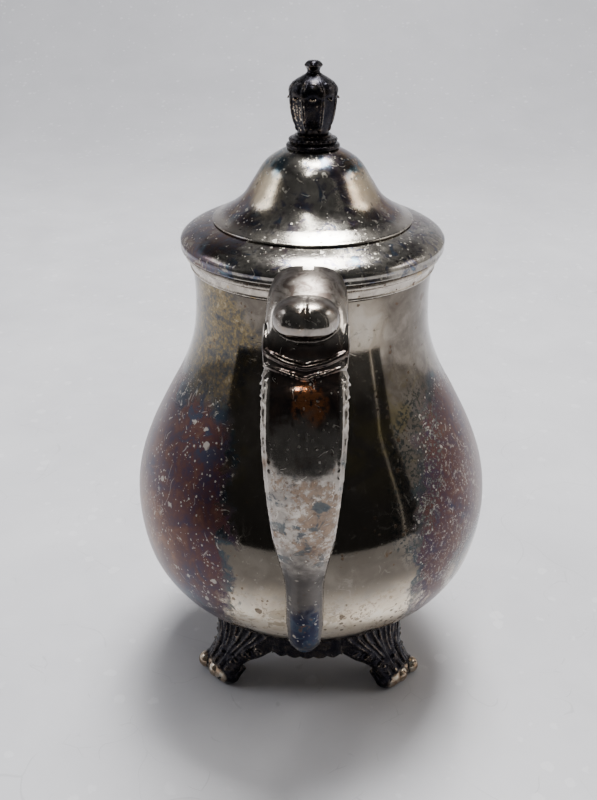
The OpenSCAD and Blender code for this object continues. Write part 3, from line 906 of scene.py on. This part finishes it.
def make_spout():
    """Hollow swan neck with a rolled lip."""
    angles = np.linspace(0, 2 * math.pi, 72, endpoint=False)
    stations = smooth(SPOUT, 6)
    outer = [section(s, angles, SPOUT_SQUARENESS, out=1) for s in stations]
    inner = [section(s, angles, SPOUT_SQUARENESS, SPOUT_WALL, out=1) for s in stations]
    # The lip turns over from the outer to the inner skin
    lip_mid = (outer[-1] + inner[-1]) / 2 + np.array([0, 0.1, 0.5])
    rings = outer + [lip_mid] + inner[::-1]
    spout = shape(np.concatenate(rings), grid_faces(len(rings), len(angles), wrap_rows=True))
    envelope = cutter(*turned(ENVELOPE, turns=CUTTER_TURNS))
    cut(spout, envelope)
    bpy.data.objects.remove(envelope)
    return hand_over(spout, "spout_neck", "pot", SPOUT_SILVER, ["spout"])


# ---------------------------------------------------------------- handle


def handle_point(s, turn):
    """Point of the handle's skin at station s and angle turn (0 = +X side, 90 = front, 180 = -X side)."""
    station = at(HANDLE, s)
    return section(station, np.array([math.radians(turn)]), station[5])[0]


def handle_line(spots, radius, proud=0.0, sides=10):
    """Raised line through (station, angle) spots on the handle's skin."""
    path = np.array([handle_point(s, turn) for s, turn in spots])
    if proud:
        middle = np.array([handle_middle(s) for s, _ in spots])
        away = path - middle
        path = path + proud * away / np.linalg.norm(away, axis=1)[:, None]
    return tube(path, radius, sides)


def handle_middle(s):
    station = at(HANDLE, s)
    return np.array([0, -(station[0] + station[2]) / 2, (station[1] + station[3]) / 2])


CREASE, TAIL = 9.6, 21.2       # where the beaded edges start and turn round, in stations of the handle


def handle_parts():
    angles = np.linspace(0, 2 * math.pi, 96, endpoint=False)
    stations = smooth(HANDLE, 6)
    parts = [lofted([section(s, angles, s[5]) for s in stations])]

    # Knuckle: flattened round boss that overhangs the crease, with the seam of the two halves
    axes = ((1, 0, 0), (0, -0.985, 0.17), (0, 0.17, 0.985))
    v, f = ellipsoid((0, -71.2, 180.1), axes, (9.7, 9.3, 6.3), 2.35, rows=72, cols=128)
    seam = bump(v[:, 0], 0, 0.45) * 0.5
    v[:, 1] += seam * 0.9
    v[:, 2] -= seam * 0.4
    parts.append((v, f))

    # Two ridges that dip at the middle, under the knuckle
    for low, rise, radius, peak in ((8.45, 1.9, 0.85, 0.12), (9.45, 1.6, 0.5, 0.22)):
        turns = np.linspace(12, 168, 70)
        dip = 1 - np.abs(np.cos(np.radians(turns))) ** 1.6
        spots = [(low - rise * (1 - d) + peak * math.exp(-((t - 90) / 6) ** 2), t)
                 for t, d in zip(turns, dip)]
        parts.append(handle_line(spots, radius, 0.25))

    # Cheeks: the lower ends of the hood beside the knuckle
    for side in (12, 168):
        spots = [(s, side) for s in np.linspace(4.2, 7.6, 16)]
        swell = 0.5 + 0.5 * np.sin(np.linspace(0.3, math.pi, 16))
        parts.append(handle_line(spots, swell, 0.1))

    # Beaded edges: a plain inner cord that goes round the tail, and a leafy outer one on each side
    down = np.linspace(CREASE, TAIL, 240)
    drift = 34 - 6 * ease((down - 10) / 8)
    loop = [(s, t) for s, t in zip(down, drift)]
    loop += [(TAIL + 0.28 * math.sin(math.radians(a)), drift[-1] + (180 - 2 * drift[-1]) * a / 180)
             for a in np.linspace(6, 174, 24)]
    loop += [(s, 180 - t) for s, t in zip(down[::-1], drift[::-1])]
    bead = 0.34 + 0.03 * np.sin(np.arange(len(loop)) * 1.1)
    parts.append(handle_line(loop, bead, 0.15))
    for mirror in (False, True):
        line = np.linspace(CREASE - 0.6, TAIL - 2.2, 300)
        calm = 1 - 0.9 * ease((line - 10.4) / 2.2)
        sway = 13 + (5 * np.sin(line * 9.5) + 3 * np.sin(line * 23 + 1)) * calm
        spots = [(s, 180 - t if mirror else t) for s, t in zip(line, sway)]
        waves = 0.17 * np.sin(line * 19) + 0.1 * np.sin(line * 41)
        swell = (0.4 + waves * calm) * (1 - 0.35 * ease((line - 11) / 4))
        parts.append(handle_line(spots, swell, 0.15))
        twin = [(s, 180 - t if mirror else t) for s, t in zip(line, 22 - 0.8 * (sway - 11))]
        parts.append(handle_line(twin, swell * 0.75, 0.1))
        # Leaf tips that stand away from the edge beside the crease
        for s, length in ((8.9, 1.6), (9.7, 2.1), (10.6, 1.7), (11.5, 1.3)):
            root = handle_point(s, 176 if mirror else 4)
            aside = -1 if mirror else 1
            path = [root + np.array([aside * (length * t - 0.8), 0.5 * t, 1.2 - 3.6 * t + 1.8 * t * t])
                    for t in np.linspace(0, 1, 9)]
            parts.append(tube(path, np.array([0.8, 0.85, 0.85, 0.8, 0.7, 0.6, 0.48, 0.35, 0.2])))
    return parts


def make_handle():
    """The casting as one skin, cut to fit the pot, the lid and the hinge, then parted at its seam."""
    handle = shape(*joined(*handle_parts()))
    cast(handle, HANDLE_GRAIN, 2)
    hinge_y, hinge_z = -HINGE[1], HINGE[2]
    cutters = [
        cutter(*turned(ENVELOPE, turns=CUTTER_TURNS)),
        cutter(*rod((0, 0, LID_LOW - 0.3), (0, 0, LID_LOW + 20), LID_R + 0.4, CUTTER_TURNS)),
        cutter(*rod((-BARREL_HALF, -hinge_y, hinge_z), (BARREL_HALF, -hinge_y, hinge_z), BARREL_R, 64)),
        cutter(*brick((-1.6, -hinge_y - 2.1, hinge_z - 2), (1.6, -hinge_y + 18, hinge_z + 18))),
        cutter(*hood_nose(hinge_y, hinge_z)),
    ]
    cut(handle, *cutters)
    for obj in cutters:
        bpy.data.objects.remove(obj)
    for side, name in ((-1, "left"), (1, "right")):
        half = handle.copy()
        half.data = handle.data.copy()
        bpy.context.scene.collection.objects.link(half)
        bm = bmesh.new()
        bm.from_mesh(half.data)
        cut_made = bmesh.ops.bisect_plane(
            bm, geom=bm.verts[:] + bm.edges[:] + bm.faces[:], dist=1e-6, plane_co=(0, 0, 0),
            plane_no=(side, 0, 0), clear_inner=True,
        )
        rim_edges = [e for e in cut_made["geom_cut"] if isinstance(e, bmesh.types.BMEdge)]
        bmesh.ops.triangle_fill(bm, use_beauty=True, edges=rim_edges)
        bmesh.ops.recalc_face_normals(bm, faces=bm.faces)
        bm.to_mesh(half.data)
        bm.free()
        hand_over(half, "handle_" + name, "pot", HANDLE_SILVER, ["handle_%s_half" % name],
                  50)
    bpy.data.objects.remove(handle)


def hood_nose(hinge_y, hinge_z, radius=3.8):
    """Space that the lid sweeps above the hinge axis, in front of the hood's round nose."""
    arc = np.radians(np.linspace(90, 0, 24))
    outline = [(hinge_y - radius * math.cos(a), hinge_z + radius * math.sin(a)) for a in arc]
    outline += [(hinge_y - 20, hinge_z), (hinge_y - 20, hinge_z + 20), (hinge_y, hinge_z + 20)]
    rings = [[(x, -rho, z) for rho, z in outline] for x in (-25, 25)]
    return lofted(rings)


# ---------------------------------------------------------------- feet and aprons


def polar(r, a):
    return np.array([r * math.cos(math.radians(a)), -r * math.sin(math.radians(a))])


UNDERSIDE = smooth(BODY, 7)


def under(obj, into=0.5):
    """Flattens what rises into the bowl onto its underside, so a casting ends inside the metal."""
    co = np.empty(len(obj.data.vertices) * 3)
    obj.data.vertices.foreach_get("co", co)
    co = co.reshape(-1, 3) / MM
    r = np.hypot(co[:, 0], co[:, 1])
    line = UNDERSIDE[:20]
    top = np.interp(r, line[:, 0], line[:, 1], left=line[0, 1]) + into
    co[:, 2] = np.minimum(co[:, 2], top)
    obj.data.vertices.foreach_set("co", (co * MM).ravel())
    obj.data.update()


def on_foot(z, turn, proud=0.0):
    """Point on the outer face of the corner casting at a height and a direction, in mm and degrees."""
    heights = [s[0] for s in FOOT]
    middle = np.interp(z, heights, [s[1] for s in FOOT])
    depth = np.interp(z, heights, [s[2] for s in FOOT])
    half = np.interp(z, heights, [s[3] for s in FOOT])
    direction = np.interp(z, heights, [s[4] for s in FOOT])
    reach = math.degrees(half / middle)
    u = np.clip((turn - direction) / reach, -1, 1)
    face = middle + depth * math.sqrt(max(1 - abs(u) ** 2.5, 0)) + proud
    return np.array([*polar(face, turn), z])


def scroll(centre_z, centre_turn, size, turns=1.25, hand=1, start=0.0):
    """Curled leaf end on the casting's face: path of a spiral."""
    path = []
    for t in np.linspace(0, 1, 30):
        angle = start + hand * turns * 2 * math.pi * t
        r = size * (1 - 0.82 * t)
        path.append(on_foot(centre_z + r * math.sin(angle),
                            centre_turn + math.degrees(r * math.cos(angle) / 42), 0.25))
    return path


def paw_parts():
    """Corner casting towards +X and -Y: flared leg with acanthus veins, scrolls and three toes."""
    angles = np.linspace(0, 2 * math.pi, 120, endpoint=False)
    rings = []
    for s in smooth(FOOT, 6):
        depth = s[2] * signed_power(np.sin(angles), 0.8)
        width = s[3] * signed_power(np.cos(angles), 0.8)
        direction = s[4] + np.degrees(width / s[1])
        # Flutes that deepen the front face
        flute = 0.35 * np.cos((direction - s[4]) * 0.62) * (np.sin(angles) > 0) * ease((s[0] - 6) / 6)
        rings.append([[*polar(s[1] + d + g, a), s[0]] for d, a, g in zip(depth, direction, flute)])
    parts = [lofted(rings)]
    for radius, turn in TOES:
        tip = np.array([*polar(radius, FOOT_ANGLE + turn), TOE_R + 0.05])
        root = np.array([*polar(radius - 5.5, FOOT_ANGLE + turn), TOE_R + 2.6])
        parts.append(ellipsoid(tip, np.eye(3), (TOE_R, TOE_R, TOE_R), 2, 28, 36))
        parts.append(tube([root * (1 - t) + tip * t for t in np.linspace(0, 1, 8)],
                          np.linspace(TOE_R * 0.8, TOE_R * 0.93, 8), 28))
        # A claw-like wrinkle behind each toe
        ridge = [np.array([*polar(radius - 1.6, FOOT_ANGLE + turn + math.degrees(w / radius)),
                           TOE_R + 3.4 - 0.28 * w * w]) for w in np.linspace(-2.6, 2.6, 11)]
        parts.append(tube(ridge, 0.6))
    # Veins that fan out from the paw to the bowl
    rng = np.random.default_rng(7)
    for k, spread in enumerate(np.linspace(-1, 1, 11)):
        path = []
        for t in np.linspace(0, 1, 26):
            z = 7.5 + 24 * t
            reach = 7.5 + 19 * ease(t * 0.95) ** 1.2
            sway = 1.3 * math.sin(3.1 * t + 2.2 * k) * (1 - t)
            path.append(on_foot(z, FOOT_ANGLE + 1 + 4 * t + spread * reach + sway, 0.12))
        thick = 0.5 + 0.2 * rng.random()
        parts.append(tube(path, thick * (0.75 + 0.35 * np.sin(np.linspace(0.2, 2.9, 26)))))
    # Curled leaf ends beside the paw and down the inner edges
    for z, turn, size, hand, start in (
        (11.2, FOOT_ANGLE + 9.5, 2.4, 1, 0.3), (11.4, FOOT_ANGLE - 7.5, 2.4, -1, 2.8),
        (16.4, FOOT_ANGLE + 17, 2.1, 1, 0.2), (16.6, FOOT_ANGLE - 11, 2.1, -1, 2.9),
        (12.4, FOOT_ANGLE + 1, 1.9, 1, 1.6), (19.8, FOOT_ANGLE + 24.5, 1.7, 1, 0.1),
    ):
        parts.append(tube(scroll(z, turn, size, 1.15, hand, start), np.linspace(0.75, 0.35, 30)))
        parts.append(ellipsoid(on_foot(z, turn, 0.3), np.eye(3), (0.9, 0.9, 0.9), 2, 16, 20))
    return parts


def make_feet():
    first = shape(*joined(*paw_parts()))
    cast(first, CAST_GRAIN, 1)
    under(first)
    low = min(v.co.z for v in first.data.vertices)
    for v in first.data.vertices:
        v.co.z = max(v.co.z - low, FLOOR_CLEARANCE * MM)
    for x_side, x_name in ((1, "right"), (-1, "left")):
        for y_side, y_name in ((-1, "handle"), (1, "spout")):
            foot = first.copy()
            foot.data = first.data.copy()
            bpy.context.scene.collection.objects.link(foot)
            for v in foot.data.vertices:
                v.co = Vector((v.co.x * x_side, -v.co.y * y_side, v.co.z))
            if x_side * y_side > 0:
                foot.data.flip_normals()
            hand_over(foot, "paw_%s_%s" % (y_name, x_name), "pot", FOOT_SILVER,
                      ["foot_%s_%s" % (y_name, x_name)], 60)
    bpy.data.objects.remove(first)


def make_apron(name, middle, half_span, node):
    """Curved panel with a scalloped lower edge, leaf lobes and veins."""
    lobes = 3 if half_span < 15 else 5
    columns = np.linspace(-half_span - 1.5, half_span + 1.5, 60)
    rings = []
    for a in columns:
        lobe = abs(math.sin(math.pi * lobes * (a + half_span) / (2 * half_span)))
        low = APRON_Z + 0.6 - 0.6 * lobe + 0.9 * (1 - lobe) - 0.4 * (a / half_span) ** 2
        direction = math.radians(middle + a)
        ring = [(1.9, low + 0.3), (1, low), (0.15, low + 0.4), (0.35, low + 2), (0.7, 27), (0.7, 34), (1.9, 34)]
        rings.append([[(APRON_R - r) * math.cos(direction), (APRON_R - r) * math.sin(direction), z]
                      for r, z in ring])
    parts = [lofted(rings)]

    def spot(a, z, proud):
        d = math.radians(middle + a)
        return [(APRON_R - 0.7 + proud) * math.cos(d), (APRON_R - 0.7 + proud) * math.sin(d), z]

    for k in range(lobes):
        centre = -half_span + (k + 0.5) * 2 * half_span / lobes
        width = half_span / lobes
        for share in (-0.75, -0.35, 0, 0.35, 0.75):
            path = [
                spot(centre + share * width * (0.35 + 0.75 * math.sin(2.6 * t)), APRON_Z + 1 + 10.5 * t, 0.05)
                for t in np.linspace(0, 1, 14)
            ]
            parts.append(tube(path, 0.42))
        edge = [spot(centre + width * 0.86 * math.cos(t), APRON_Z + 1.9 - 1.1 * math.sin(t), 0.05)
                for t in np.linspace(0.1, math.pi - 0.1, 16)]
        parts.append(tube(edge, 0.55))
    apron = shape(*joined(*parts))
    cast(apron, CAST_GRAIN, 1)
    under(apron)
    return hand_over(apron, name, "pot", FOOT_SILVER, [node], 60)


# ---------------------------------------------------------------- finial and hinge


def make_finial():
    z0 = DOME_Z + 4
    panels = 8
    bud = smooth([
        (5.2, z0), (5.6, z0 + 1.2), (5.9, z0 + 2.2), (7.2, z0 + 5), (8.1, z0 + 9.5), (8.2, z0 + 13),
        (7.6, z0 + 15.3), (6, z0 + 17.2), (4.1, z0 + 18.4), (2.7, z0 + 19.2), (2.1, z0 + 19.9),
        (2.3, z0 + 20.8), (2.9, z0 + 21.6),
        (2.9, TOTAL_H - 1.5), (2.1, TOTAL_H - 0.5), (1.1, TOTAL_H - 0.1), (0.05, TOTAL_H - 0.05),
    ], 6).tolist()

    def leaves(angle, r, z):
        phase = (np.degrees(angle) + 90 + 22.5) % 45 - 22.5          # degrees from the middle of a panel
        share = r / 8.2
        body = ease((z - z0 - 1) / 3) * ease((z0 + 18.6 - z) / 3)
        hollow = -0.55 * body * share * (1 - (np.abs(phase) / 22.5) ** 2) * ease((z0 + 14 - z) / 2.5)
        border = 0.3 * body * bump(np.abs(phase), 19.5, 2.2) - 0.45 * body * bump(np.abs(phase), 22.5, 1.6)
        crown = 0.35 * bump(z, z0 + 15.4, 1.8) * np.cos(np.radians(phase * 4)) ** 2
        thirds = np.cos(np.radians(3 * (np.degrees(angle) + 90)))
        petals = 0.75 * bump(z, TOTAL_H - 1.6, 1.3) * thirds * (r > 0.5)
        return hollow + border + crown + petals * 0.45

    verts, faces = turned([(0.05, z0)] + bud, leaves, 320)
    parts = [(verts, faces)]
    for k in range(panels):
        direction = math.radians(-90 + 45 * k)
        out = np.array([math.cos(direction), math.sin(direction), 0])
        along = np.array([-math.sin(direction), math.cos(direction), 0])
        # Arched bright border at the top of each panel, with a small curl at its tip
        arch = [out * (7.75 - 0.25 * abs(math.cos(t)) - 1.1 * math.sin(t)) + along * 2.6 * math.cos(t)
                + np.array([0, 0, z0 + 13.4 + 3.2 * math.sin(t)]) for t in np.linspace(-0.25, math.pi + 0.25, 22)]
        parts.append(tube(arch, 0.34, 8))
        curl = [out * (8.05 + 0.42 * math.sin(t)) + along * 0.9 * math.cos(t)
                + np.array([0, 0, z0 + 12.2 - 0.5 * math.sin(t)]) for t in np.linspace(0, math.pi, 12)]
        parts.append(tube(curl, 0.3, 8))
        # Scrolls on the shoulder between two panels, and knobs at the waist
        between_panels = direction + math.radians(22.5)
        side = np.array([math.cos(between_panels), math.sin(between_panels), 0])
        parts.append(ellipsoid(side * 7.75 + np.array([0, 0, z0 + 13.2]), np.eye(3), (0.75, 0.75, 1.5), 2,
                               16, 20))
        parts.append(ellipsoid(side * 5.95 + np.array([0, 0, z0 + 2.6]), np.eye(3), (0.6, 0.6, 1.1), 2, 14,
                               16))
    finial = shape(*joined(*parts))
    cast(finial, FINIAL_GRAIN, 1)
    hand_over(finial, "bud", "lid", FINIAL_SILVER, ["finial_bud"], 60)

    top = node_box("finial_collar")[1]
    r = top[0]
    z = DOME_Z
    foot = smooth([(1.7, z - 0.5), (r - 2.6, z - 0.6), (r - 1, z - 1.3), (r - 0.7, z - 0.7)], 4)
    edge = smooth([(r - 0.5, z - 0.4), (r, z - 0.1), (r, z + 0.7), (r - 0.5, z + 1.15)], 4)
    crown = smooth([(r - 1.4, z + 1.3), (r - 1.2, z + 1.6), (r - 0.8, z + 2.3), (r - 1.2, z + 3),
                    (r - 2.2, z + 3.3), (r - 2.9, top[2] - 0.35), (r - 3.2, top[2]), (1.7, top[2])], 5)
    outline = foot.tolist() + edge.tolist() + crown.tolist()

    def gadroons(angle, radius, z):
        lobes = 0.24 * np.abs(np.cos(angle * 12)) * bump(z, DOME_Z + 2.3, 0.9)
        return (lobes - 0.2 * bump(z, DOME_Z + 2.3, 0.9)) * (radius > r - 3)

    collar = shape(*turned(outline, gadroons, 384))
    hand_over(collar, "collar", "lid", FINIAL_SILVER, ["finial_collar"], 50)


def dress(node, material):
    """Gives a CAD node that stays in view its own finish."""
    obj = frame["nodes"][node]
    obj.data.materials.clear()
    obj.data.materials.append(material)


make_body()
make_rim()
make_lid()
make_spout()
make_handle()
make_feet()
FOOT_HALF = math.degrees(20.4 / 39)
for side, direction in (("handle", -90), ("spout", 90)):
    make_apron("skirt_" + side, direction, 90 - FOOT_ANGLE - 5 - FOOT_HALF, "apron_%s_side" % side)
for side, direction in (("left", 180), ("right", 0)):
    make_apron("skirt_" + side, direction, FOOT_ANGLE + 5 - FOOT_HALF, "apron_" + side)
make_finial()
for node in ("hinge_knuckle_left", "hinge_knuckle_right", "lid_hinge_lug"):
    dress(node, STEEL)
for node in ("hinge_pin", "finial_stud", "finial_washer", "finial_nut"):
    dress(node, BRASS)


# ---------------------------------------------------------------- floor, light and camera


def floor_material():
    n = Nodes("floor_paint")
    broad = n.noise(260, 4, 0.6, 0.5)
    middle = n.noise(45, 4, 0.6, 0.4, lift=9)
    base = n.ramp(broad * 0.6 + middle * 0.4, (0.35, (0.46, 0.46, 0.485)), (0.65, (0.56, 0.56, 0.585)))
    # Darker towards the back and up the backdrop: painted shade
    base = n.mix(n.step(n.y, 350, 1250, 0.0, 0.5), base, (0.3, 0.3, 0.325))
    lines = n.most(n.scratches(70, 0.006, (1, 1, 1), lift=3, keep=0.52),
                   n.scratches(26, 0.01, (1, 1, 1), lift=7, keep=0.56))
    n.colour = n.mix(lines * 0.35, base, (0.3, 0.3, 0.32))
    marks = n.specks(3.5, 0.3, 60, lift=11)
    n.coat(marks * 0.25, (0.74, 0.74, 0.76))
    return n.finish(0.55 + middle * 0.15, lines, 0.05, metallic=0.0)


def plain_material(name, colour, rough=0.9):
    n = Nodes(name)
    shade = n.noise(300, 3, 0.5)
    dark = tuple(c * 0.92 for c in colour)
    n.colour = n.ramp(shade, (0.35, dark), (0.65, colour))
    return n.finish(rough, metallic=0.0)


FAR, SWEEP = 2600, 900      # how far the floor goes, and where it starts to rise behind the pot
CARD_AWAY = 520             # distance of the dark card that the polished sides mirror
sweep = [(SWEEP + 700 * math.sin(a), 700 * (1 - math.cos(a))) for a in np.radians(np.linspace(0, 90, 33))]
profile = [(-FAR, 0), (-600, 0), (0, 0), (500, 0)] + sweep + [(SWEEP + 700, 2000)]
floor = shape([(x, y, z) for x in (-FAR, FAR) for y, z in profile],
              [(k, k + 1, len(profile) + k + 1, len(profile) + k) for k in range(len(profile) - 1)], "floor")
floor.data.materials.append(floor_material())
floor.data.polygons.foreach_set("use_smooth", [True] * len(floor.data.polygons))


def mirrored_card(name, start, end, away, colour, glow=0.0):
    """Curved card that only reflections see: start and end are its sides in degrees about -Y."""
    rows = ((1, 6), (1.1, 420), (1.05, 700), (1, 900))
    turns = np.radians(np.linspace(start, end, 28))
    verts = [(away * k * math.sin(a), -away * k * math.cos(a), z) for k, z in rows for a in turns]
    card = shape(verts, grid_faces(len(rows), 28, wrap_cols=False), name)
    material = plain_material(name + "_paint", colour)
    if glow:
        shader = material.node_tree.nodes["Principled BSDF"]
        shader.inputs["Emission Color"].default_value = (*colour, 1)
        shader.inputs["Emission Strength"].default_value = glow
    card.data.materials.append(material)
    card.visible_camera = False
    card.visible_shadow = False
    card.visible_diffuse = False


mirrored_card("dark_card", -70, 66, CARD_AWAY, (0.02, 0.021, 0.022))
mirrored_card("pale_edge", 55, 56, CARD_AWAY - 6, (0.7, 0.66, 0.6))
mirrored_card("pale_wall_left", -150, -60, 1250, (0.3, 0.295, 0.3), 0.2)
mirrored_card("pale_wall_right", 56, 150, 1250, (0.34, 0.33, 0.32), 0.2)

world = bpy.data.worlds.new("studio")
bpy.context.scene.world = world
world.use_nodes = True
world.node_tree.nodes["Background"].inputs["Color"].default_value = (0.72, 0.73, 0.78, 1)
world.node_tree.nodes["Background"].inputs["Strength"].default_value = 0.1


def lamp(name, place, aim, size, power, colour=(1, 1, 1)):
    """Square soft light at a place, aimed at a point, both in millimetres."""
    data = bpy.data.lights.new(name, "AREA")
    data.shape = "RECTANGLE"
    data.size, data.size_y = (c * MM for c in size)
    data.energy = power
    data.color = colour
    obj = bpy.data.objects.new(name, data)
    bpy.context.scene.collection.objects.link(obj)
    obj.location = Vector(place) * MM
    obj.rotation_euler = (Vector(aim) - Vector(place)).to_track_quat("-Z", "Y").to_euler()
    return obj


lamp("overhead", (100, 430, 1600), (0, 180, 0), (600, 500), 46)
lamp("strip", (35, 250, 1650), (10, 150, 0), (100, 1900), 20, (1.0, 0.985, 0.95))
lamp("left_window", (-1500, 250, 900), (0, 0, 0), (720, 900), 10, (0.93, 0.95, 1.0))
lamp("right_fill", (1500, 250, 900), (0, 0, 0), (720, 900), 10, (1.0, 0.96, 0.92))

LEAN = math.radians(2.2)                # the camera stands this far round towards +X
AWAY, UP, ASIDE = 309.4, 277.8, -4.9    # its distance from the axis, height and shift along its own X
lens = bpy.data.cameras.new("camera")
lens.lens = 40.5
lens.sensor_width = 36
lens.clip_start = 0.01
camera = bpy.data.objects.new("camera", lens)
bpy.context.scene.collection.objects.link(camera)
camera.location = Vector((
    AWAY * math.sin(LEAN) + ASIDE * math.cos(LEAN),
    -AWAY * math.cos(LEAN) + ASIDE * math.sin(LEAN),
    UP,
)) * MM
camera.rotation_euler = (math.radians(62.5), 0, LEAN)
bpy.context.scene.camera = camera
